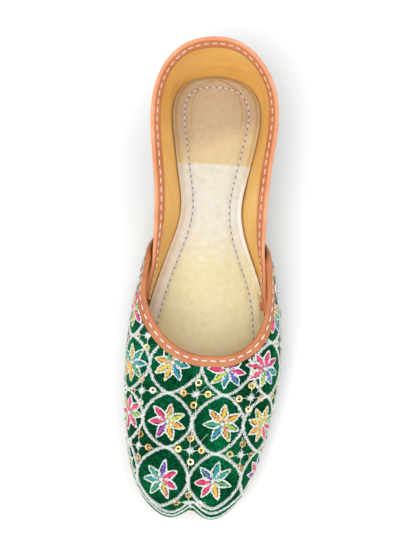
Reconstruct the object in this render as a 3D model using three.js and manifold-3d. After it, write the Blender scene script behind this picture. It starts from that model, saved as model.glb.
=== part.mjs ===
// A mojari: a flat embroidered slip-on shoe with a notched toe, for the left foot.
// Millimetres, +Z up. The toe points to -Y, the outer (lateral) side of the foot is +X.
import * as THREE from "three";
import { mergeVertices } from "three/addons/utils/BufferGeometryUtils.js";
import Module from "manifold-3d";

// Driving dimensions
const SOLE_LENGTH = 248;
const BALL_WIDTH = 84;
const HEEL_HEIGHT = 56;
const INSTEP_HEIGHT = 37.5;

// Sole, heel and insole
const OUTSOLE_THICK = 4;
const HEEL_RISE = 5;
const HEEL_BREAST = 0.28 * SOLE_LENGTH;
const HEEL_LAST_ROW = 3.85;
const HEEL_INSET = 0.8;
const RAMP_FRONT = -0.08 * SOLE_LENGTH;
const TOE_SPRING = 7;
const TOE_SPRING_START = -0.34 * SOLE_LENGTH;
const TOE_END = -0.475 * SOLE_LENGTH;
const INSOLE_THICK = 1.8;
const INSOLE_PAD = 0.9;

// Walls and bindings
const GAP = 0.3;
const QUARTER_WALL = 2;
const QUARTER_EDGE_WALL = 1.6;
const VAMP_FACE = 1.8;
const VAMP_SINK = 0.6;
const VAMP_EDGE_INSIDE = 0.4;
const WING_LIFT = 0.8;
const WING_LIFT_RUN = 0.7;
const EDGE_BAND = 7;
const EDGE_FADE = 7;
const BINDING_THICK = 0.8;
const BINDING_WIDTH = 6;

// One row for each section, from the back of the heel to the tip of the toe.
// along: percent of the sole length from the middle, heel side positive.
// medial, lateral: percent of the ball width, out from the middle line.
// topHeight: percent of the way from the instep height to the heel height.
// wall, shoulder, rise: the three handles of the rib between foot and top edge,
// In: percent of the way from foot to top in plan, Out: millimetres outward, Up: percent of the rise.
// welt: how far the outsole stands out past the wall's own foot line, millimetres.
const COLUMNS = ["name",
  "footAlong", "footMedial", "footLateral", "topAlong", "topMedial", "topLateral", "topHeight",
  "wallOut", "wallUp", "shoulderIn", "shoulderOut", "shoulderUp", "riseIn", "riseUp", "welt"];
const SECTIONS = [
  ["heelBack",    52.1, -1.4,  1.4,  54.1, -0.7,  0.7, 100, 2.5, 25, 30, 2.5, 52, 62, 77, 1.2],
  ["heelCorner",  50.2, 21.2, 23.5,  52.0, 21.7, 20.2,  97, 2.5, 25, 30, 2.5, 52, 62, 77, 1.2],
  ["heelSide",    44.0, 30.8, 34.0,  45.2, 36.2, 36.0,  89, 2.5, 25, 30, 2.0, 52, 62, 77, 1.2],
  ["heelBreast",  35.5, 28.5, 32.4,  36.3, 39.5, 40.7,  76, 2.0, 25, 35, 1.5, 52, 67, 77, 1.4],
  ["waistBack",   27.0, 24.0, 27.6,  27.4, 36.7, 38.5,  59, 1.5, 25, 38, 1.0, 52, 70, 77, 2.4],
  ["waist",       19.0, 21.4, 25.1,  19.0, 33.9, 37.1,  43, 1.5, 25, 40, 1.0, 52, 70, 77, 3.4],
  ["instep",      10.9, 27.3, 31.4,  11.3, 33.2, 36.8,  32, 3.0, 25, 38, 2.5, 52, 68, 78, 3.4],
  ["wing",         2.4, 34.9, 40.8,   4.0, 34.5, 38.5,  26, 4.5, 24, 25, 4.5, 54, 60, 80, 3.0],
  ["joint",       -6.9, 40.7, 45.5,  -2.8, 36.0, 40.5,  19, 4.5, 22, 15, 4.5, 58, 55, 84, 2.6],
  ["ball",       -16.9, 42.7, 47.1,  -7.9, 30.5, 38.6,  12, 4.5, 20,  8, 5.0, 62, 50, 86, 2.6],
  ["toeJoint",   -27.4, 41.2, 42.9, -11.5, 22.0, 32.9,   6, 4.5, 18,  5, 5.0, 64, 50, 86, 2.6],
  ["toeSide",    -37.5, 36.7, 35.5, -13.7, 12.3, 24.4,   2, 5.0, 20,  3, 4.5, 64, 50, 84, 2.4],
  ["toeTurn",    -44.5, 25.7, 24.5, -14.6,  4.2, 17.9,   0, 7.0, 26,  0, 5.5, 64, 52, 83, 2.0],
  ["lobe",       -47.2, 12.5, 12.5, -14.9, -1.2, 11.3,   0, 8.5, 30,  0, 6.0, 64, 54, 83, 1.0],
  ["toeCentre",  -46.3,  0.0,  0.0, -14.9, -6.0,  6.0,   0, 3.2, 30,  0, 5.8, 66, 54, 83, 3.2],
];
const LAST_ROW = SECTIONS.length - 1;
const STATIONS = 2 * LAST_ROW;

// Where the vamp and the quarters end, as positions in the table of sections
const WING_FOOT = 5.6;
const WING_TOP = 6.6;
const WING_TOP_DROP = 0.07;
const WING_RUN = 0.9;
const COLLAR_DROP_START = 6.45;
const COLLAR_DROP_END = 7.95;
const QUARTER_END_LATERAL = 7.65;
const QUARTER_END_MEDIAL = 7.55;
const QUARTER_END_HEIGHT = 0.22;
const QUARTER_CLEAR = 8.3;
const COLLAR_FOLD_END = 6.2;
const THROAT_FOLD_START = 7.2;
const VAMP_COLUMNS = 58;
const TAB_LOWEST = 0.08;

const wasm = await Module();
wasm.setup();

const smoothstep = THREE.MathUtils.smoothstep;
const lerp = THREE.MathUtils.lerp;

function namedRows() {
  return SECTIONS.map((row) => Object.fromEntries(row.map((value, i) => [COLUMNS[i], value])));
}

// Height of the outsole's underside, of its top face and of whatever stands on it
function undersideHeight(y) {
  if (y < TOE_SPRING_START) {
    const share = (TOE_SPRING_START - y) / (TOE_SPRING_START - TOE_END);
    return TOE_SPRING * share ** 1.6;
  }
  return HEEL_RISE * smoothstep(y, RAMP_FRONT, HEEL_BREAST);
}

function deckHeight(y) {
  return undersideHeight(y) + OUTSOLE_THICK + GAP;
}

// A closed, curvature-continuous curve through the given points, one unit of u from point to point
function closedSpline(points) {
  const count = points.length;
  const at = (list, i) => list[((i % count) + count) % count];
  let controls = points.map((p) => p.clone());
  for (let pass = 0; pass < 30; pass += 1) {
    controls = controls.map((c, i) => {
      const onCurve = at(controls, i - 1).clone().add(at(controls, i + 1));
      onCurve.addScaledVector(c, 4).divideScalar(6);
      return c.clone().add(points[i]).sub(onCurve);
    });
  }
  return (u) => {
    const i = Math.floor(u);
    const f = u - i;
    const point = new THREE.Vector3();
    point.addScaledVector(at(controls, i - 1), (1 - f) ** 3 / 6);
    point.addScaledVector(at(controls, i), (3 * f ** 3 - 6 * f ** 2 + 4) / 6);
    point.addScaledVector(at(controls, i + 1), (-3 * f ** 3 + 3 * f ** 2 + 3 * f + 1) / 6);
    point.addScaledVector(at(controls, i + 2), f ** 3 / 6);
    return point;
  };
}

// The stations run from the heel along the lateral side to the toe, and back along the medial side
function stationList() {
  const rows = namedRows();
  const stations = [];
  for (let k = 0; k < STATIONS; k += 1) {
    const lateral = k <= LAST_ROW;
    const row = rows[lateral ? k : STATIONS - k];
    const side = lateral ? 1 : -1;
    const halfFoot = lateral ? row.footLateral : row.footMedial;
    const halfTop = lateral ? row.topLateral : row.topMedial;
    stations.push({
      row,
      foot: new THREE.Vector3(side * halfFoot / 100 * BALL_WIDTH, row.footAlong / 100 * SOLE_LENGTH, 0),
      top: new THREE.Vector3(side * halfTop / 100 * BALL_WIDTH, row.topAlong / 100 * SOLE_LENGTH,
        lerp(INSTEP_HEIGHT, HEEL_HEIGHT, row.topHeight / 100)),
    });
  }
  return stations;
}

function planNormal(curve, u) {
  const step = 0.01;
  const along = curve(u + step).sub(curve(u - step));
  return new THREE.Vector3(-along.y, along.x, 0).normalize();
}

function buildRibHandles() {
  const stations = stationList();
  const footCurve = closedSpline(stations.map((s) => s.foot));
  const handles = [[], [], [], [], []];
  stations.forEach((station, k) => {
    const { row, top } = station;
    const foot = station.foot.clone().setZ(deckHeight(station.foot.y));
    const outward = planNormal(footCurve, k);
    const rise = top.z - foot.z;
    const handle = (inShare, out, up) => {
      const point = foot.clone().lerp(top, inShare / 100).addScaledVector(outward, out);
      return point.setZ(foot.z + rise * up / 100);
    };
    handles[0].push(foot);
    handles[1].push(handle(0, row.wallOut, row.wallUp));
    handles[2].push(handle(row.shoulderIn, row.shoulderOut, row.shoulderUp));
    handles[3].push(handle(row.riseIn, row.shoulderOut * 0.4, row.riseUp));
    handles[4].push(top);
  });
  const weltCurve = closedSpline(stations.map((s) => new THREE.Vector3(s.row.welt, 0, 0)));
  return { curves: handles.map(closedSpline), welt: (u) => weltCurve(u).x };
}

const RIBS = buildRibHandles();

// The shared face of vamp and quarters. u runs round the shoe, v from the foot (0) to the top edge (1)
function facePoint(u, v) {
  const corners = RIBS.curves.map((curve) => curve(u));
  const seat = deckHeight(corners[0].y) - corners[0].z;
  corners[0].z += seat;
  corners[1].z += seat;
  const weights = [1, 4, 6, 4, 1];
  const point = new THREE.Vector3();
  corners.forEach((corner, i) => {
    point.addScaledVector(corner, weights[i] * v ** i * (1 - v) ** (4 - i));
  });
  return point;
}

function faceFrame(u, v) {
  const step = 0.01;
  const along = facePoint(u + step, v).sub(facePoint(u - step, v)).divideScalar(2 * step);
  const up = facePoint(u, v + step).sub(facePoint(u, v - step)).divideScalar(2 * step);
  const normal = up.clone().cross(along).normalize();
  return { along, up, normal };
}

// A point of a wall, off the shared face by some millimetres, with its foot kept level on the sole
function wallPoint(u, v, offset) {
  const point = facePoint(u, v).addScaledVector(faceFrame(u, v).normal, offset);
  const hold = Math.max(0, 1 - v) ** 8;
  point.z += (deckHeight(point.y) - point.z) * hold;
  return point;
}

function ribLength(u) {
  return facePoint(u, 1).distanceTo(facePoint(u, 0));
}

function fromHeel(u) {
  const turned = ((u % STATIONS) + STATIONS) % STATIONS;
  return Math.min(turned, STATIONS - turned);
}

// Edges of the two walls on the shared face
function wingEdge(t) {
  return lerp(WING_FOOT, WING_TOP, t ** 1.5);
}

function vampTop(u) {
  return 1 - WING_TOP_DROP * (1 - smoothstep(fromHeel(u), WING_TOP, WING_TOP + WING_RUN));
}

function quarterTop(u) {
  return lerp(1, QUARTER_END_HEIGHT, smoothstep(fromHeel(u), COLLAR_DROP_START, COLLAR_DROP_END));
}

function vampPatch(s, t) {
  const u = lerp(wingEdge(t), STATIONS - wingEdge(t), s);
  return { u, v: t * vampTop(u) };
}

function quarterPatch(s, t) {
  const u = lerp(-QUARTER_END_MEDIAL, QUARTER_END_LATERAL, s);
  return { u, v: t * quarterTop(u) };
}

function nearEdge(distance) {
  return 1 - smoothstep(distance, EDGE_BAND, EDGE_BAND + EDGE_FADE);
}

function vampEdgeShare(u, v) {
  const length = ribLength(u);
  const fromTop = nearEdge((vampTop(u) - v) * length);
  const stationStep = SOLE_LENGTH / LAST_ROW;
  const fromWing = nearEdge((fromHeel(u) - wingEdge(Math.min(v, 1))) * stationStep);
  const onQuarter = 1 - smoothstep(fromHeel(u), QUARTER_CLEAR, QUARTER_CLEAR + 1);
  const overCollar = nearEdge((quarterTop(u) - v) * length) * onQuarter;
  return Math.max(fromTop, fromWing, overCollar);
}

function wingLift(u, v) {
  const ahead = fromHeel(u) - WING_TOP;
  const along = smoothstep(ahead, -1, 0) * (1 - smoothstep(ahead, WING_LIFT_RUN, WING_LIFT_RUN + 1));
  return WING_LIFT * along * smoothstep(v, 0.3, 0.9);
}

function vampOutside(u, v) {
  return VAMP_FACE + wingLift(u, v);
}

function vampInside(u, v) {
  return lerp(-VAMP_SINK, VAMP_EDGE_INSIDE, vampEdgeShare(u, v)) + wingLift(u, v);
}

function quarterInside(u, v) {
  const share = nearEdge((quarterTop(u) - v) * ribLength(u));
  return -lerp(QUARTER_WALL, QUARTER_EDGE_WALL, share);
}

// Bodies from lists of triangles
function bodyFromTriangles(triangles) {
  const soup = new THREE.BufferGeometry();
  const numbers = triangles.flatMap((triangle) => triangle.flatMap((p) => [p.x, p.y, p.z]));
  soup.setAttribute("position", new THREE.Float32BufferAttribute(numbers, 3));
  const merged = mergeVertices(soup, 1e-3);
  const index = merged.getIndex().array;
  const kept = [];
  for (let i = 0; i < index.length; i += 3) {
    const [a, b, c] = [index[i], index[i + 1], index[i + 2]];
    if (a !== b && b !== c && c !== a) {
      kept.push(a, b, c);
    }
  }
  merged.setIndex(kept);
  return merged;
}

function toManifold(geometry) {
  const mesh = new wasm.Mesh({
    numProp: 3,
    vertProperties: new Float32Array(geometry.getAttribute("position").array),
    triVerts: new Uint32Array(geometry.getIndex().array),
  });
  return new wasm.Manifold(mesh);
}

function fromManifold(manifold) {
  const mesh = manifold.getMesh();
  const geometry = new THREE.BufferGeometry();
  geometry.setAttribute("position", new THREE.Float32BufferAttribute(mesh.vertProperties, 3));
  geometry.setIndex(new THREE.Uint32BufferAttribute(mesh.triVerts, 1));
  return geometry;
}

function signedVolume(geometry) {
  const index = geometry.getIndex().array;
  const position = geometry.getAttribute("position");
  const corner = (i) => new THREE.Vector3().fromBufferAttribute(position, index[i]);
  let total = 0;
  for (let i = 0; i < index.length; i += 3) {
    total += corner(i).dot(corner(i + 1).cross(corner(i + 2))) / 6;
  }
  return total;
}

function facingOut(geometry) {
  if (signedVolume(geometry) < 0) {
    geometry.getIndex().array.reverse();
  }
  return geometry;
}

function joined(geometries) {
  const solids = geometries.map(toManifold);
  return fromManifold(solids.reduce((whole, next) => whole.add(next)));
}

function quad(triangles, a, b, c, d) {
  triangles.push([a, b, c], [a, c, d]);
}

// The skin round a row of point rings, without its two ends
function skinOfRings(rings) {
  const triangles = [];
  const size = rings[0].length;
  for (let i = 0; i + 1 < rings.length; i += 1) {
    for (let j = 0; j < size; j += 1) {
      const k = (j + 1) % size;
      quad(triangles, rings[i][j], rings[i][k], rings[i + 1][k], rings[i + 1][j]);
    }
  }
  return triangles;
}

// Two layers of one patch, joined round their rim
function shellBody(patch, inside, outside, columns, rows) {
  const layer = (offset) => columns.map((s) => rows.map((t) => {
    const { u, v } = patch(s, t);
    return wallPoint(u, v, offset(u, v));
  }));
  const outer = layer(outside);
  const inner = layer(inside);
  const triangles = [];
  const lastColumn = columns.length - 1;
  const lastRow = rows.length - 1;
  for (let i = 0; i < lastColumn; i += 1) {
    for (let j = 0; j < lastRow; j += 1) {
      quad(triangles, outer[i][j], outer[i][j + 1], outer[i + 1][j + 1], outer[i + 1][j]);
      quad(triangles, inner[i][j], inner[i + 1][j], inner[i + 1][j + 1], inner[i][j + 1]);
    }
    quad(triangles, outer[i][lastRow], inner[i][lastRow], inner[i + 1][lastRow], outer[i + 1][lastRow]);
    quad(triangles, outer[i][0], outer[i + 1][0], inner[i + 1][0], inner[i][0]);
  }
  for (let j = 0; j < lastRow; j += 1) {
    quad(triangles, outer[0][j], inner[0][j], inner[0][j + 1], outer[0][j + 1]);
    quad(triangles, outer[lastColumn][j], outer[lastColumn][j + 1], inner[lastColumn][j + 1],
      inner[lastColumn][j]);
  }
  return facingOut(bodyFromTriangles(triangles));
}

function evenSteps(count) {
  return Array.from({ length: count + 1 }, (_, i) => i / count);
}

// A binding is a folded strip swept along an edge of a wall. Its section is a list of pairs, the
// strip's face and back, and each is [distance into the wall, face that it follows, millimetres off]
const FOLD_GAP = 0.4;
const BINDING_BACK = FOLD_GAP + BINDING_THICK;
const BINDING_ROUND = BINDING_THICK * 0.65;

function bindingLeg(wallFace, direction) {
  const pair = (distance) => [
    [distance, wallFace, direction * BINDING_BACK], [distance, wallFace, direction * FOLD_GAP]];
  const corner = [-FOLD_GAP, wallFace, direction * FOLD_GAP];
  return [
    pair(BINDING_WIDTH), pair(BINDING_WIDTH / 2),
    [[-BINDING_ROUND, wallFace, direction * BINDING_BACK], corner],
    [[-BINDING_BACK, wallFace, direction * FOLD_GAP], corner],
  ];
}

function fullFold(outside, inside) {
  return [...bindingLeg(outside, 1), ...bindingLeg(inside, -1).reverse()];
}

function halfFold(legFace, farFace, farOffset, direction) {
  const far = [[-BINDING_BACK, farFace, farOffset], [-FOLD_GAP, farFace, farOffset]];
  return [...bindingLeg(legFace, direction), far];
}

// Turns one millimetre into the wall, square to its edge, into steps of u and v
function stepIntoWall(edge, i, inward) {
  const here = edge[i];
  const before = edge[Math.max(0, i - 1)];
  const after = edge[Math.min(edge.length - 1, i + 1)];
  const { along, up, normal } = faceFrame(here.u, here.v);
  const tangent = facePoint(after.u, after.v).sub(facePoint(before.u, before.v)).normalize();
  const into = normal.clone().cross(tangent).normalize();
  const hint = along.clone().multiplyScalar(inward.u).addScaledVector(up, inward.v);
  if (into.dot(hint) < 0) {
    into.negate();
  }
  const alongAlong = along.dot(along);
  const alongUp = along.dot(up);
  const upUp = up.dot(up);
  const determinant = alongAlong * upUp - alongUp * alongUp;
  return {
    u: (into.dot(along) * upUp - into.dot(up) * alongUp) / determinant,
    v: (into.dot(up) * alongAlong - into.dot(along) * alongUp) / determinant,
  };
}

// Edge is a list of {u, v}; inward is the rough way into the wall; lowest keeps a leg off the insole
function bindingBody({ edge, inward, section, lowest = 0 }) {
  const loop = [...section.map((pair) => pair[0]), ...section.map((pair) => pair[1]).reverse()];
  const rings = edge.map((here, i) => {
    const step = stepIntoWall(edge, i, inward);
    return loop.map(([distance, face, extra]) => {
      const u = here.u + step.u * distance;
      const v = Math.max(lowest, here.v + step.v * distance);
      return wallPoint(u, v, face(u, v) + extra);
    });
  });
  const triangles = skinOfRings(rings);
  const first = rings[0];
  const last = rings[rings.length - 1];
  const end = loop.length - 1;
  for (let i = 0; i + 1 < section.length; i += 1) {
    quad(triangles, first[i], first[end - i], first[end - i - 1], first[i + 1]);
    quad(triangles, last[i], last[i + 1], last[end - i - 1], last[end - i]);
  }
  return facingOut(bodyFromTriangles(triangles));
}

// Plates: outsole, heel and insole, as rows of points from the medial to the lateral rim
function rimPoint(u, offset) {
  const point = RIBS.curves[0](u);
  return point.addScaledVector(planNormal(RIBS.curves[0], u), offset);
}

function plateBody({ rowSteps, acrossSteps, rim, profile, topAt, bottomAt }) {
  const layerAt = (inset, height) => rowSteps.map((k) => {
    const medial = rimPoint(STATIONS - k, rim(k) - inset);
    const lateral = rimPoint(k, rim(k) - inset);
    const width = medial.distanceTo(lateral);
    return acrossSteps.map((share) => {
      const point = medial.clone().lerp(lateral, share);
      return point.setZ(lerp(bottomAt(point.y), topAt(point.y, share, width), height));
    });
  });
  const layers = profile.map(([inset, height]) => layerAt(inset, height));
  const triangles = [];
  const bottom = layers[0];
  const top = layers[layers.length - 1];
  const lastRow = rowSteps.length - 1;
  const lastAcross = acrossSteps.length - 1;
  for (let i = 0; i < lastRow; i += 1) {
    for (let j = 0; j < lastAcross; j += 1) {
      quad(triangles, top[i][j], top[i + 1][j], top[i + 1][j + 1], top[i][j + 1]);
      quad(triangles, bottom[i][j], bottom[i][j + 1], bottom[i + 1][j + 1], bottom[i + 1][j]);
    }
  }
  for (let level = 0; level + 1 < layers.length; level += 1) {
    const low = layers[level];
    const high = layers[level + 1];
    for (let i = 0; i < lastRow; i += 1) {
      quad(triangles, low[i][0], low[i + 1][0], high[i + 1][0], high[i][0]);
      quad(triangles, low[i + 1][lastAcross], low[i][lastAcross], high[i][lastAcross],
        high[i + 1][lastAcross]);
    }
    for (let j = 0; j < lastAcross; j += 1) {
      quad(triangles, low[lastRow][j], low[lastRow][j + 1], high[lastRow][j + 1], high[lastRow][j]);
      quad(triangles, low[0][j + 1], low[0][j], high[0][j], high[0][j + 1]);
    }
  }
  return facingOut(bodyFromTriangles(triangles));
}

function rowsBetween(first, last, count) {
  return evenSteps(count).map((share) => lerp(first, last, share));
}

// The named pieces
const shoe = new THREE.Group();

function addPiece(name, geometry, color, roughness) {
  const material = new THREE.MeshStandardMaterial({ color, roughness, metalness: 0 });
  const mesh = new THREE.Mesh(geometry, material);
  mesh.name = name;
  shoe.add(mesh);
}

function outsole() {
  return plateBody({
    rowSteps: rowsBetween(0, LAST_ROW, 44),
    acrossSteps: evenSteps(2),
    rim: RIBS.welt,
    profile: [[0.8, 0], [0, 0.2], [0, 0.85], [0.4, 1]],
    bottomAt: undersideHeight,
    topAt: (y) => undersideHeight(y) + OUTSOLE_THICK,
  });
}

function heelLift() {
  return plateBody({
    rowSteps: rowsBetween(0, HEEL_LAST_ROW, 14),
    acrossSteps: evenSteps(2),
    rim: (k) => RIBS.welt(k) - HEEL_INSET,
    profile: [[0.6, 0], [0, 0.15], [0, 1]],
    bottomAt: () => 0,
    topAt: () => HEEL_RISE - GAP,
  });
}

function insole() {
  const pad = (share, width) => INSOLE_PAD * Math.sin(Math.PI * share) * smoothstep(width, 0, 30);
  return plateBody({
    rowSteps: rowsBetween(0, LAST_ROW, 44),
    acrossSteps: evenSteps(6),
    rim: () => -(QUARTER_WALL + GAP),
    profile: [[0, 0], [0, 1]],
    bottomAt: deckHeight,
    topAt: (y, share, width) => deckHeight(y) + INSOLE_THICK + pad(share, width),
  });
}

function upper() {
  const vampRows = evenSteps(11).map((share) => 1 - (1 - share) ** 1.3);
  const vamp = shellBody(vampPatch, vampInside, vampOutside, evenSteps(VAMP_COLUMNS), vampRows);
  const quarters = shellBody(quarterPatch, quarterInside, () => 0, evenSteps(52), evenSteps(7));
  return joined([vamp, quarters]);
}

function throatBinding() {
  const corner = (GAP + BINDING_THICK) / (SOLE_LENGTH / LAST_ROW);
  const topEdge = (list) => list.map((u) => ({ u, v: vampTop(u) }));
  const columnRuns = evenSteps(VAMP_COLUMNS).map((s) => vampPatch(s, 1).u);
  const outerLeg = halfFold(vampOutside, () => 0, GAP, 1);
  const wing = (side) => bindingBody({
    edge: rowsBetween(0, 1 + corner / 2, 9).map((t) => {
      const run = wingEdge(Math.min(t, 1));
      return { u: side > 0 ? run : STATIONS - run, v: t * vampTop(run) };
    }),
    inward: { u: side, v: 0 },
    section: outerLeg,
  });
  const shoulder = (first, last) => bindingBody({
    edge: topEdge(rowsBetween(first, last, 4)), inward: { u: 0, v: -1 }, section: outerLeg,
  });
  const overlap = 0.4;
  return joined([
    bindingBody({
      edge: topEdge(columnRuns.filter((u) => fromHeel(u) >= THROAT_FOLD_START)),
      inward: { u: 0, v: -1 },
      section: fullFold(vampOutside, vampInside),
    }),
    shoulder(WING_TOP - corner, THROAT_FOLD_START + overlap),
    shoulder(STATIONS - THROAT_FOLD_START - overlap, STATIONS - WING_TOP + corner),
    wing(1),
    wing(-1),
  ]);
}

function collarBinding() {
  const edge = (first, last, count) => rowsBetween(first, last, count).map((u) => ({ u, v: quarterTop(u) }));
  const inward = { u: 0, v: -1 };
  const innerLeg = halfFold(quarterInside, () => 0, 0, -1);
  const overlap = 0.15;
  const frontEnd = (first, last) => bindingBody({
    edge: edge(first, last, 10), inward, section: innerLeg, lowest: TAB_LOWEST,
  });
  return joined([
    bindingBody({
      edge: edge(-COLLAR_FOLD_END, COLLAR_FOLD_END, 40), inward, section: fullFold(() => 0, quarterInside),
    }),
    frontEnd(COLLAR_FOLD_END - overlap, QUARTER_END_LATERAL),
    frontEnd(-COLLAR_FOLD_END + overlap, -QUARTER_END_MEDIAL),
  ]);
}

addPiece("outsole", outsole(), 0x9a6a42, 0.7);
addPiece("heel", heelLift(), 0x7d5433, 0.7);
addPiece("insole", insole(), 0xf2e2b8, 0.6);
addPiece("upper", upper(), 0x0b5a3c, 0.9);
addPiece("throat_binding", throatBinding(), 0xd88a5c, 0.6);
addPiece("collar_binding", collarBinding(), 0xf0a880, 0.6);

// The origin is the middle of the shoe's footprint box, at the floor
const bounds = new THREE.Box3().setFromObject(shoe);
const middle = bounds.getCenter(new THREE.Vector3());
shoe.position.set(-middle.x, -middle.y, -bounds.min.z);

export default shoe;
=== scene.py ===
# A left mojari: green velvet vamp with silver lattice and flowers, tan bound edges, cream insole.
# Lengths are in millimetres until a piece's vertices are placed, then metres in the frame.
import math

import bpy
import numpy as np
from mathutils import Matrix, Vector
from mathutils.bvhtree import BVHTree


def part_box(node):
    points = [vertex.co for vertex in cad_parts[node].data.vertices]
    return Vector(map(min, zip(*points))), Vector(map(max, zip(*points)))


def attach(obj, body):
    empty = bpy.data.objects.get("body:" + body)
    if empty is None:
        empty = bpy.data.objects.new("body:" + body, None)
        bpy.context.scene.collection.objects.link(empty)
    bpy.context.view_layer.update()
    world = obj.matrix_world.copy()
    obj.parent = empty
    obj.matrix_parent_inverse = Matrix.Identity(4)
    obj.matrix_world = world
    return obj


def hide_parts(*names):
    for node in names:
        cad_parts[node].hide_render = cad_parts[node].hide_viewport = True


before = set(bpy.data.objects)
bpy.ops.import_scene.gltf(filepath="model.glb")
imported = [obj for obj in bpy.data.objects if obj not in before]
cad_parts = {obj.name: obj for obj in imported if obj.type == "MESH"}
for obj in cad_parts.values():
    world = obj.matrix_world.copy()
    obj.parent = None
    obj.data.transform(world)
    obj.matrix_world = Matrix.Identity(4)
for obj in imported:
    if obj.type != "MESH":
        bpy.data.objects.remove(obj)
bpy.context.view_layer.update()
bpy.ops.object.select_all(action="DESELECT")

# Driving sizes of the last, as in the solids
SOLE_LENGTH = 248
BALL_WIDTH = 84
HEEL_HEIGHT = 56
INSTEP_HEIGHT = 37.5
OUTSOLE_THICK = 4
HEEL_RISE = 5
HEEL_BREAST = 0.28 * SOLE_LENGTH
HEEL_LAST_ROW = 3.85
HEEL_INSET = 0.8
RAMP_FRONT = -0.08 * SOLE_LENGTH
TOE_SPRING = 7
TOE_SPRING_START = -0.34 * SOLE_LENGTH
TOE_END = -0.475 * SOLE_LENGTH
INSOLE_THICK = 1.8
INSOLE_PAD = 0.9

# Walls and bindings
GAP = 0.3
QUARTER_WALL = 2
COLLAR_EDGE_WALL = 0.4
VAMP_FACE = 1.8
VAMP_SINK = 0.6
VAMP_EDGE_INSIDE = 0.4
WING_LIFT = 0.8
WING_LIFT_RUN = 0.7
EDGE_BAND = 7
EDGE_FADE = 7
BINDING_WIDTH = 4.8
BINDING_THICK = 0.55
FOLD_GAP = 0.1

# Sections from the back of the heel to the tip of the toe: positions in percent of the sole length
# and of the ball width, heights in percent from instep to heel, then the three handles of each rib
COLUMNS = ("foot_along foot_medial foot_lateral top_along top_medial top_lateral top_height "
           "wall_out wall_up shoulder_in shoulder_out shoulder_up rise_in rise_up welt").split()
SECTIONS = {
    "heel_back":   (52.1, -1.4, 1.4, 54.1, -0.7, 0.7, 100, 2.5, 25, 30, 2.5, 52, 62, 77, 1.2),
    "heel_corner": (50.2, 21.2, 23.5, 52.0, 21.7, 20.2, 97, 2.5, 25, 30, 2.5, 52, 62, 77, 1.2),
    "heel_side":   (44.0, 30.8, 34.0, 45.2, 36.2, 36.0, 89, 2.5, 25, 30, 2.0, 52, 62, 77, 1.2),
    "heel_breast": (35.5, 28.5, 32.4, 36.3, 39.5, 40.7, 76, 2.0, 25, 35, 1.5, 52, 67, 77, 1.4),
    "waist_back":  (27.0, 24.0, 27.6, 27.4, 36.7, 38.5, 59, 1.5, 25, 38, 1.0, 52, 70, 77, 2.4),
    "waist":       (19.0, 21.4, 25.1, 19.0, 33.9, 37.1, 43, 1.5, 25, 40, 1.0, 52, 70, 77, 3.4),
    "instep":      (10.9, 27.3, 31.4, 11.3, 33.2, 36.8, 32, 3.0, 25, 38, 2.5, 52, 68, 78, 3.4),
    "wing":        (2.4, 34.9, 40.8, 4.0, 34.5, 38.5, 26, 4.5, 24, 25, 4.5, 54, 60, 80, 3.0),
    "joint":       (-6.9, 40.7, 45.5, -2.8, 36.0, 40.5, 19, 4.5, 22, 15, 4.5, 58, 55, 84, 2.6),
    "ball":        (-16.9, 42.7, 47.1, -7.9, 30.5, 38.6, 12, 4.5, 20, 8, 5.0, 62, 50, 86, 2.6),
    "toe_joint":   (-27.4, 41.2, 42.9, -11.5, 22.0, 32.9, 6, 4.5, 18, 5, 5.0, 64, 50, 86, 2.6),
    "toe_side":    (-37.5, 36.7, 35.5, -13.7, 12.3, 24.4, 2, 5.0, 20, 3, 4.5, 64, 50, 84, 2.4),
    "toe_turn":    (-44.5, 25.7, 24.5, -14.6, 4.2, 17.9, 0, 7.0, 26, 0, 5.5, 64, 52, 83, 2.0),
    "lobe":        (-47.2, 12.5, 12.5, -14.9, -1.2, 11.3, 0, 8.5, 30, 0, 6.0, 64, 54, 83, 1.0),
    "toe_centre":  (-46.3, 0.0, 0.0, -14.9, -6.0, 6.0, 0, 3.2, 30, 0, 5.8, 66, 54, 83, 3.2),
}
ROWS = [dict(zip(COLUMNS, values)) for values in SECTIONS.values()]
LAST_ROW = len(ROWS) - 1
STATIONS = 2 * LAST_ROW

# Ends of the vamp and of the quarters, as positions in the list of sections
WING_FOOT = 5.6
WING_TOP = 6.6
WING_TOP_DROP = 0.07
WING_RUN = 0.9
COLLAR_DROP_START = 6.45
COLLAR_DROP_END = 7.95
QUARTER_END_LATERAL = 7.65
QUARTER_END_MEDIAL = 7.55
QUARTER_END_HEIGHT = 0.22
QUARTER_CLEAR = 8.3
COLLAR_FOLD_END = 6.2
THROAT_FOLD_START = 7.2
TAB_LOWEST = 0.08
LEAN_LATERAL = 4.1
LEAN_MEDIAL = 1.5
END_SHORT = 0.14

RANDOM = np.random.default_rng(7)


def mix(a, b, share):
    return a + (b - a) * share


def smoothstep(x, low, high):
    share = np.clip((np.asarray(x, float) - low) / (high - low), 0, 1)
    return share * share * (3 - 2 * share)


def unit(vectors):
    length = np.linalg.norm(vectors, axis=-1, keepdims=True)
    return vectors / np.maximum(length, 1e-9)


# The last
def underside_height(y):
    share = np.clip((TOE_SPRING_START - y) / (TOE_SPRING_START - TOE_END), 0, None)
    return TOE_SPRING * share ** 1.6 + HEEL_RISE * smoothstep(y, RAMP_FRONT, HEEL_BREAST)


def deck_height(y):
    return underside_height(y) + OUTSOLE_THICK + GAP


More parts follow.
